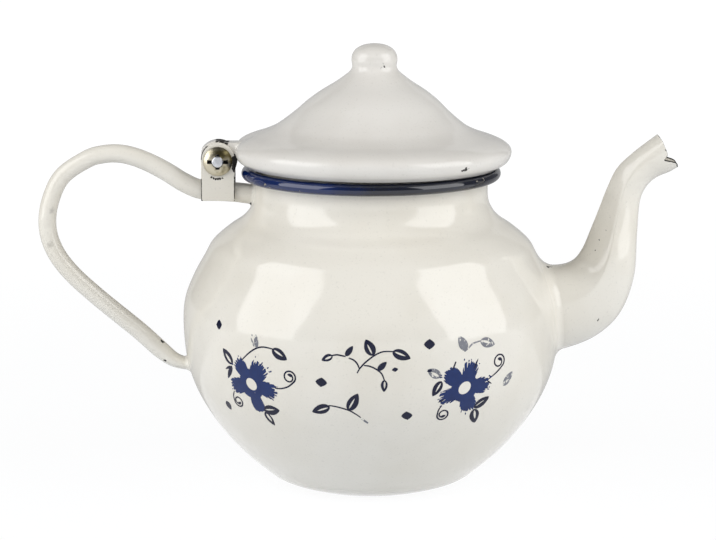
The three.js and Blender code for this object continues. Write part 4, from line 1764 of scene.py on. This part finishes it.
@dataclass
class Ornament:
    """The blue sprigs and flowers, a common kind of decoration, printed on both sides of the belly."""

    pot: Pot
    lift: float = 0.05
    thickness: float = 0.1
    cell: float = 0.8
    slit_share: float = 0.72  # the ink ran in from the edges, so a slit is narrower than it was drawn
    slit_lean: float = 0.05
    slit_start: float = 0.12
    slit_length: float = 0.6
    drop: float = 1.45
    tooth_depth: float = 2.7
    turn_share: float = 0.5  # the far side's print is the near side's, half a turn round

    def outline(self, leaf: Leaf, slit: bool) -> Ring:
        """Draws a leaf's outer or inner edge.

        Args:
            leaf: The leaf.
            slit: Whether to draw the opening inside it.

        Returns:
            A closed loop of points.
        """
        base, tip = Vector(leaf.base), Vector(leaf.tip)
        along = tip - base
        across = Vector((-along.y, along.x)).normalized()
        steps = max(10, int(along.length / self.cell) * 2)
        loop = []
        for i in range(steps * 2):
            share = i / steps if i <= steps else 2 - i / steps
            side = 1 if i < steps else -1
            if leaf.shape is Outline.DIAMOND:
                half = leaf.width / 2 * (1 - abs(2 * share - 1)) ** 0.62
            else:
                half = leaf.width / 2 * sin(pi * share**0.82) ** 0.72
            if slit:
                shift = leaf.width * self.slit_lean * (leaf.slit > 0)
                half = half * leaf.slit * self.slit_share * side + shift
                share = self.slit_start + self.slit_length * share
                side = 1
            loop.append(base + along * share + across * half * side)
        return loop

    def add_leaf(self, bm: BMesh, leaf: Leaf) -> None:
        """Prints a leaf as a band between its edge and its slit or middle line.

        Args:
            bm: The print.
            leaf: The leaf.
        """
        outer = self.outline(leaf, False)
        inner = self.outline(leaf, True)
        rings = []
        for k in range(3):
            rings.append([i.lerp(o, k / 2).to_3d() for i, o in zip(inner, outer)])
        sweep(bm, rings, closed=True)

    def add_line(self, bm: BMesh, points: Ring, width: float, drop: float = 0.0) -> None:
        """Prints a line that thins at its ends, or swells at its last one.

        Args:
            bm: The print.
            points: The line's middle.
            width: Its width.
            drop: The width of the drop that it ends in.
        """
        rings = []
        for i, point in enumerate(points):
            travel = (points[min(i + 1, len(points) - 1)] - points[max(i - 1, 0)]).normalized()
            share = i / (len(points) - 1)
            half = width / 2 * (0.6 + 0.4 * sin(pi * share) ** 0.5)
            half += (drop / 2 - half) * smoothstep(share, 0.84, 0.97) if drop else 0.0
            across = Vector((-travel.y, travel.x)) * half
            rings.append([(point - across).to_3d(), (point + across).to_3d()])
        sweep(bm, rings, closed=False)

    def add_curl(self, bm: BMesh, curl: Curl) -> None:
        """Prints a line that winds into a spiral round its centre.

        Args:
            bm: The print.
            curl: The line.
        """
        centre = Vector(curl.centre)
        lead = Curve(curl.lead).samples(len(curl.lead) * 5)
        start = lead[-1] - centre
        travel = lead[-1] - lead[-2]
        radius, angle = start.length, atan2(start.y, start.x)
        sense = 1 if start.x * travel.y - start.y * travel.x > 0 else -1
        steps = int(curl.turns * 26)
        for i in range(1, steps + 1):
            share = i / steps
            away = radius * (1 - share**2.2) * (1 - 0.12 * share) + self.drop * 0.3 * share
            turned_to = angle + sense * curl.turns * tau * share
            lead.append(centre + Vector((cos(turned_to), sin(turned_to))) * away)
        self.add_line(bm, lead, curl.width, self.drop)

    def brush_ends(self, draw: random.Random, turns: int) -> list[float]:
        """Draws how far back each strip of a petal's end is: brush strokes with gaps between them.

        Args:
            draw: Where the random numbers come from.
            turns: How many strips there are.

        Returns:
            A distance for each strip.
        """
        ends: list[float] = []
        while len(ends) < turns:
            ends += [draw.uniform(-0.7, 0.7)] * draw.randint(3, 8)
            ends += [draw.uniform(1.0, self.tooth_depth)] * draw.randint(1, 2)
        return ends[:turns]

    def add_bloom(self, bm: BMesh, bloom: Bloom) -> None:
        """Prints a flower whose petals end in brush marks.

        Args:
            bm: The print.
            bloom: The flower.
        """
        draw = random.Random(bloom.seed)
        turns = 330
        ends = self.brush_ends(draw, turns)
        inner, outer = [], []
        length, width, slant = bloom.eye
        for i in range(turns):
            angle = i * tau / turns
            way = Vector((cos(angle), sin(angle)))
            turned_by = angle - radians(slant)
            eye = 1 / hypot(cos(turned_by) / length, sin(turned_by) / width)
            away = bloom.valley
            for petal in bloom.petals:
                off = abs((degrees(angle) - petal.angle + 180) % 360 - 180) / petal.half
                reach = bloom.valley + (petal.reach - bloom.valley) * max(0.0, 1 - (off / 1.45) ** 3.1)
                reach -= (1 - smoothstep(off, 0.95, 1.5)) * ends[i] * petal.ragged
                away = max(away, reach)
            away += (ends[-1 - i] > 0.7) * 0.25
            inner.append(way * eye)
            outer.append(way * away)
        rings = []
        for k in range(8):
            rings.append([i.lerp(o, k / 7).to_3d() for i, o in zip(inner, outer)])
        sweep(bm, rings, closed=True)
        for petal in bloom.petals:
            for _ in range(int(9 * petal.ragged)):
                angle = radians(petal.angle + draw.uniform(-1.0, 1.0) * petal.half)
                away = petal.reach + draw.uniform(-0.9, 0.7)
                way = Vector((cos(angle), sin(angle)))
                size = draw.uniform(0.4, 1.1)
                self.add_leaf(bm, Leaf(tuple(way * away), tuple(way * (away + size)), draw.uniform(0.3, 0.6)))

    def wrap(self, bm: BMesh, motif: Motif, turn: float) -> BMesh:
        """Lays a flat print on the belly and gives it its thickness.

        Args:
            bm: The print, in millimetres along the wall from the motif's middle.
            motif: The motif.
            turn: How far round the pot it goes from its own place, in radians.

        Returns:
            A closed thin skin that just stands out of the enamel.
        """
        bmesh.ops.remove_doubles(bm, verts=bm.verts[:], dist=WELD)
        bmesh.ops.dissolve_degenerate(bm, dist=WELD, edges=bm.edges[:])
        for vert in bm.verts:
            radius, height = self.pot.along_wall(motif.height, vert.co.y)
            angle = radians(motif.angle) + turn + vert.co.x / radius
            vert.co = self.pot.point(angle, height, self.lift)
        for face in bm.faces:
            face.normal_update()
            if face.normal.dot(Vector((*face.calc_center_median().xy, 0))) < 0:
                face.normal_flip()
        skin = bm.faces[:]
        grown = bmesh.ops.extrude_face_region(bm, geom=skin, use_keep_orig=True)["geom"]
        for item in grown:
            if isinstance(item, bmesh.types.BMVert):
                item.co = self.pot.on_wall(item.co, self.lift - self.thickness)
        bmesh.ops.recalc_face_normals(bm, faces=bm.faces[:])
        return bm

    def add_mark(self, bm: BMesh, mark: Bloom | Curl | Stem | Leaf) -> None:
        """Prints one mark of a motif.

        Args:
            bm: The print.
            mark: The mark.
        """
        if isinstance(mark, Bloom):
            self.add_bloom(bm, mark)
        elif isinstance(mark, Curl):
            self.add_curl(bm, mark)
        elif isinstance(mark, Stem):
            self.add_line(bm, Curve(mark.points).samples(len(mark.points) * 6), mark.width)
        else:
            self.add_leaf(bm, mark)

    def build(self, inks: dict[Ink, Material]) -> None:
        """Prints every motif on both sides.

        Args:
            inks: The material of each tone.
        """
        for motif in MOTIFS:
            for place, turn in (("near", 0.0), ("far", tau * self.turn_share)):
                for ink, material in inks.items():
                    marks = [mark for mark in motif.marks if mark.ink is ink]
                    if not marks:
                        continue
                    bm = bmesh.new()
                    for mark in marks:
                        self.add_mark(bm, mark)
                    name = f"print_{motif.name}_{place}_{ink.value}"
                    add_piece(self.wrap(bm, motif, turn), name, material, slot=Slot.RIM)


@dataclass
class Studio:
    """A plain white studio: a bright table, soft boxes at both sides, dim flags, the photograph's camera."""

    target: Triple = (-4.75, 0.0, 78.5)
    distance: float = 1280.0
    elevation: float = 9.7
    lens: float = 176.3
    soft_box_way: Triple = (0.84, -0.37, 0.37)
    soft_box_distance: float = 1050.0
    soft_box_size: Pair = (0.86, 1.1)
    soft_box_power: float = 8.3
    fill_way: Triple = (0.0, -0.8, 0.6)
    fill_distance: float = 2200.0
    fill_size: Pair = (1.6, 1.2)
    fill_power: float = 12.6
    ambient: float = 0.106
    table_glow: float = 0.1
    table_white: float = 1.04
    table_show: float = 0.9  # how much of the table's white near the pot is its own
    table_span: float = 12000.0
    shadow_reach: Pair = (250.0, 900.0)
    dim: float = 0.1
    side_dim: float = 0.15
    back_dim: float = 0.5
    tent: Triple = (1600.0, 3000.0, 2200.0)
    back_card_start: float = 76.0
    back_card_height: float = 0.5

    def build(self) -> None:
        """Sets up the camera, the light and the table."""
        self.camera()
        self.world()
        self.table()
        for side in (-1, 1):
            way = (side * self.soft_box_way[0], *self.soft_box_way[1:])
            name = f"soft_box_{side}"
            self.soft_box(name, way, self.soft_box_distance, self.soft_box_size, self.soft_box_power)
        fill = self.soft_box("front_fill", self.fill_way, self.fill_distance, self.fill_size, self.fill_power)
        fill.visible_glossy = False
        self.flags()

    def place(self, thing: bpy.types.Object, way: Vector, distance: float) -> None:
        """Puts a lamp or the camera at a distance from the pot, facing it.

        Args:
            thing: The lamp or camera.
            way: From the pot to it.
            distance: How far, in millimetres.
        """
        thing.location = (Vector(self.target) + way * distance) * MM
        thing.rotation_euler = way.to_track_quat("Z", "Y").to_euler()
        bpy.context.scene.collection.objects.link(thing)

    def camera(self) -> None:
        """Places the camera as the photograph's was."""
        data = bpy.data.cameras.new("camera")
        data.lens = self.lens
        data.clip_end = 60.0
        camera = bpy.data.objects.new("camera", data)
        tilt = radians(self.elevation)
        self.place(camera, Vector((0, -cos(tilt), sin(tilt))), self.distance)
        bpy.context.scene.camera = camera

    def soft_box(
        self, name: str, direction: Sequence[float], distance: float, size: Pair, power: float
    ) -> bpy.types.Object:
        """Hangs an area lamp that faces the pot.

        Args:
            name: The lamp's name.
            direction: From the pot to the lamp.
            distance: From the pot, in millimetres.
            size: Its width and height, in metres.
            power: Its power, in watts.

        Returns:
            The lamp.
        """
        data = bpy.data.lights.new(name, "AREA")
        data.shape = "RECTANGLE"
        data.size, data.size_y = size
        data.energy = power
        lamp = bpy.data.objects.new(name, data)
        self.place(lamp, Vector(direction).normalized(), distance)
        lamp.visible_camera = False
        return lamp

    def seen(self, tree: NodeTree) -> Socket:
        """Adds a factor that is 1 for what the eye sees directly, in a reflection or through glass.

        Args:
            tree: The material's nodes.

        Returns:
            The factor.
        """
        factor = add_node(tree, "LightPath", "Is Camera Ray")
        rays = factor.node.outputs
        for other in ("Is Glossy Ray", "Is Transmission Ray"):
            both = {"Value": factor, "Value_001": rays[other]}
            factor = add_node(tree, "Math", "Value", both, operation="MAXIMUM")
        return factor

    def world(self) -> None:
        """Makes a backdrop that looks white, also in gloss, and lights little."""
        # seamless white paper: an even white behind the pot, and a low, even light on it
        world = bpy.data.worlds.new("seamless_white_paper")
        bpy.context.scene.world = world
        world.use_nodes = True
        tree = world.node_tree
        tree.nodes.clear()
        soft = add_node(tree, "Background", "Background", {"Color": (1, 1, 1, 1), "Strength": self.ambient})
        white = add_node(tree, "Background", "Background", {"Color": (1, 1, 1, 1), "Strength": 1.0})
        mixed = {"Fac": self.seen(tree), "Shader": soft, "Shader_001": white}
        add_node(tree, "OutputWorld", "", {"Surface": add_node(tree, "MixShader", "Shader", mixed)})

    def card(
        self, name: str, centre: Sequence[float], width: float, height: float, facing: Sequence[float]
    ) -> bpy.types.Object:
        """Makes a rectangle that faces a direction.

        Args:
            name: The card's name.
            centre: Its middle, in millimetres.
            width: Its width.
            height: Its height.
            facing: The direction that it faces.

        Returns:
            The card, which is part of the studio.
        """
        bm = bmesh.new()
        bmesh.ops.create_grid(bm, x_segments=1, y_segments=1, size=0.5)
        bmesh.ops.scale(bm, vec=(width * MM, height * MM, 1), verts=bm.verts[:])
        turn = Vector(facing).to_track_quat("Z", "Y").to_matrix().to_4x4()
        bmesh.ops.transform(bm, matrix=Matrix.Translation(Vector(centre) * MM) @ turn, verts=bm.verts[:])
        mesh = bpy.data.meshes.new(name)
        bm.to_mesh(mesh)
        bm.free()
        card = bpy.data.objects.new(name, mesh)
        bpy.context.scene.collection.objects.link(card)
        return card

    def felt(self, name: str, strength: float) -> Material:
        """Makes a flag's cloth: a matt grey that gloss shows as an even tone.

        Args:
            name: The material's name.
            strength: How bright gloss shows it, where 1 is white.

        Returns:
            The material.
        """
        material, tree, _ = new_material(name)
        glow = add_node(tree, "Emission", "Emission", {"Color": (1, 1, 1, 1), "Strength": strength})
        add_node(tree, "OutputMaterial", "", {"Surface": glow})
        material.cycles.emission_sampling = "NONE"  # it is seen in gloss and is no lamp
        return material

    def flags(self) -> None:
        """Stands dim flags round the pot and lays a grey card behind it: only gloss reflects them."""
        dark = self.felt("black_felt_flag", self.dim)
        middling = self.felt("dark_grey_felt_flag", self.side_dim)
        grey = self.felt("grey_felt_flag", self.back_dim)
        wide, deep, high = self.tent
        start = self.back_card_start
        middle = (0, (start + deep) / 2, self.back_card_height)
        flags = [
            (self.card("flag_front", (0, -deep, high / 2), wide * 2, high, (0, 1, 0)), dark),
            (self.card("flag_top", (0, 0, high), wide * 2, deep * 2, (0, 0, -1)), dark),
            (self.card("flag_back", (0, deep, high / 2), wide * 2, high, (0, -1, 0)), grey),
            (self.card("flag_low", middle, wide * 2, deep - start, (0, 0, 1)), grey),
        ]
        for side in (-1, 1):
            card = self.card(f"flag_side_{side}", (side * wide, 0, high / 2), deep * 2, high, (-side, 0, 0))
            flags.append((card, middling))
        for flag, cloth in flags:
            flag.data.materials.append(cloth)
            for ray in ("camera", "diffuse", "shadow", "transmission"):
                setattr(flag, f"visible_{ray}", False)

    def table(self) -> None:
        """Lays a white table that glows a little and keeps the pot's soft shadow."""
        table = self.card("table", (0, 0, 0), self.table_span, self.table_span, (0, 0, 1))
        # opal acrylic, lit from below: a cool white that runs into the backdrop, with a faint shadow
        material, tree, place = new_material("white_light_table")
        away = add_node(tree, "VectorMath", "Value", {"Vector": place}, operation="LENGTH")
        near, far = self.shadow_reach
        show = add_node(
            tree, "MapRange", "Result",
            {"Value": away, "From Min": near * MM, "From Max": far * MM, "To Min": self.table_show},
        )
        share = add_node(
            tree, "Math", "Value", {"Value": self.seen(tree), "Value_001": show}, operation="MULTIPLY"
        )
        paint = add_node(tree, "BsdfDiffuse", "BSDF", {"Color": to_linear("#d9dde3")})
        under = {"Color": to_linear("#f1f6ff"), "Strength": self.table_glow}
        glow = add_node(tree, "Emission", "Emission", under)
        lit = add_node(tree, "AddShader", "Shader", {"Shader": paint, "Shader_001": glow})
        white = add_node(tree, "Emission", "Emission", {"Color": (1, 1, 1, 1), "Strength": self.table_white})
        mixed = add_node(tree, "MixShader", "Shader", {"Fac": share, "Shader": lit, "Shader_001": white})
        add_node(tree, "OutputMaterial", "", {"Surface": mixed})
        material.cycles.emission_sampling = "NONE"  # so large a surface is found without aiming at it
        table.data.materials.append(material)


def main() -> None:
    """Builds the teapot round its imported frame, and the studio."""
    logging.basicConfig(level=logging.INFO, format="%(name)s %(message)s")
    bpy.context.scene.view_settings.view_transform = "Standard"
    # cream frit fired on steel: a deep wet gloss that mirrors the soft boxes, warmer where the coat is thin
    enamel = VitreousEnamel("cream_enamel", CREAM, CREAM_THIN, FRIT_GREY)
    pot_enamel = enamel.make()
    # the same coat with pinholes down the spout and black iron round the chewed mouth
    spout_enamel = replace(
        enamel, name="chipped_cream_enamel_spout", bare_edges=True,
        chips=(
            ChipAndShadeSpot((82.5, -8.9, 61.4), 0.5), ChipAndShadeSpot((64.4, -4.0, 80.5), 0.6), ChipAndShadeSpot((65.6, -2.9, 80.2), 0.55),
            ChipAndShadeSpot((82.7, -5.4, 90.5), 0.34), ChipAndShadeSpot((81.5, -5.9, 87.0), 0.38), ChipAndShadeSpot((85.2, -6.1, 93.9), 0.3),
            ChipAndShadeSpot((86.6, -5.4, 98.9), 0.26, 0.6), ChipAndShadeSpot((82.8, -3.5, 94.6), 0.26, 0.6),
        ),
    ).make()
    # the same coat with knocks at the foot, two grey rubs where the fingers close, and a painted shade line
    # under the tube where it meets the neck
    handle_enamel = replace(
        enamel, name="rubbed_cream_enamel_handle",
        chips=(
            # the spot at x -43.8 is the painted shade line under the tube's top joint at the neck
            ChipAndShadeSpot((-76.3, -1.5, 52.2), 0.9), ChipAndShadeSpot((-75.5, -3.1, 45.4), 0.7), ChipAndShadeSpot((-43.8, -2.0, 103.2), 0.7),
            ChipAndShadeSpot((-115.9, -3.1, 100.8), 1.6, 0.26), ChipAndShadeSpot((-116.7, -3.6, 88.3), 1.6, 0.28),
        ),
    ).make()
    # the same coat worn to the iron along the cut edges, with painted shade on the edge towards the lug, and
    # a painted shadow in a thin arc just below the near cap
    ear_enamel = replace(
        enamel, name="worn_cream_enamel_ears", bare_edges=True, wander=0.9,
        chips=(
            # these spots are the painted shadow just below the near cap's rim
            ChipAndShadeSpot((-57.8, -4.9, 113.4), 0.38), ChipAndShadeSpot((-57.1, -4.9, 113.0), 0.4),
            ChipAndShadeSpot((-56.3, -4.9, 112.8), 0.46), ChipAndShadeSpot((-55.5, -4.9, 112.7), 0.5),
            ChipAndShadeSpot((-54.7, -4.9, 112.8), 0.46), ChipAndShadeSpot((-53.9, -4.9, 113.0), 0.36),
        ),
    ).make()
    # a colder, whiter and glossier coat: the lid comes from another firing, and its lip and knob are chipped
    lid_coat = replace(
        enamel, name="chipped_white_enamel_lid", colour="#e7e4de", thin_colour="#dfdbd4", roughness=0.07
    )
    lid_enamel = replace(
        lid_coat,
        chips=(
            ChipAndShadeSpot((32.4, -38.9, 120.5), 0.75), ChipAndShadeSpot((33.4, -38.1, 120.8), 0.8),
            ChipAndShadeSpot((34.2, -37.5, 121.0), 0.5), ChipAndShadeSpot((4.5, -7.6, 155.2), 0.42), ChipAndShadeSpot((4.7, -7.2, 153.9), 0.55),
            ChipAndShadeSpot((3.4, -7.6, 153.6), 0.5, 0.4), ChipAndShadeSpot((-48.3, -4.6, 120.7), 0.8, 0.55),
        ),
    ).make()
    # the lid's coat, gone from the lug where it rubs on the ears, with a painted shade on its cheeks below
    # and beside the pin
    lug_enamel = replace(
        lid_coat, name="worn_white_enamel_lug", bare_edges=True,
        chips=(ChipAndShadeSpot((-49.4, -3.6, 120.9), 0.9), ChipAndShadeSpot((-48.6, -4.0, 121.6), 0.6, 0.5)),
    ).make()
    # cobalt glass with crisp streaks of light, near black where it ran thin over the iron
    blue_enamel = VitreousEnamel(
        "chipped_blue_enamel_rim", "#011d52", "#171a26", "#1d3d78", drift_size=30.0, roughness=0.04,
        ripple_height=0.012, iron_and_shade_colour="#8c8577", index=1.62,
        lean=(0.02, 0.0, 0.0), lean_centre=(-13.0, 0.0, 0.0),
        chips=(
            ChipAndShadeSpot((37.2, -28.1, 115.0), 0.5), ChipAndShadeSpot((39.8, -24.1, 115.2), 0.6),
            ChipAndShadeSpot((-37.8, -28.1, 113.9), 0.6), ChipAndShadeSpot((-36.3, -29.8, 113.1), 0.5),
            ChipAndShadeSpot((18.8, -43.2, 114.0), 0.3), ChipAndShadeSpot((-25.2, -39.7, 113.2), 0.25),
        ),
    ).make()
    # fired cobalt print: nearly black lines, brushed blue petals, and grey marks that have mostly washed off
    inks = {
        Ink.LINE: Transfer("cobalt_line_print", "#050a24", "#0c1438", CREAM, 0.0).make(),
        Ink.PETAL: Transfer("cobalt_petal_print", "#081e50", "#17326b", CREAM, 0.03).make(),
        Ink.FADED: Transfer("faded_cobalt_print", "#63666f", "#8d8e94", CREAM, 0.23).make(),
    }
    # bright wire cut off square: a pale, slightly furrowed end
    steel = DullMetal("cut_steel_wire", "#eef1f6", "#c9ccd2", 0.4, 0.5, 2.0).make()
    # thin nickel over brass: a yellowish metal with tarnished patches, and a painted dark reflection that
    # browns it towards its upper right
    nickel = DullMetal(
        "dull_nickelled_brass", "#c9c2ae", "#6f6748", 0.33, 0.4, 3.0, 0.42, 0.74,
        # the lean is the painted dark reflection on the caps' upper right
        lean=(0.05, 0.0, 0.022), lean_centre=(-55.5, 0.0, 119.25),
    ).make()

    pot = Pot()
    pot.build(pot_enamel)
    rim = RolledRim(pot)
    rim.build(blue_enamel)
    Spout(pot).build(spout_enamel)
    handle = Handle(pot)
    handle.build(handle_enamel)
    lid = Lid(pot, rim)
    lid.build(lid_enamel)
    Hinge(lid, handle).build(pot_enamel, ear_enamel, lug_enamel, steel, nickel)
    Ornament(pot).build(inks)
    Studio().build()


if __name__ == "__main__":
    main()
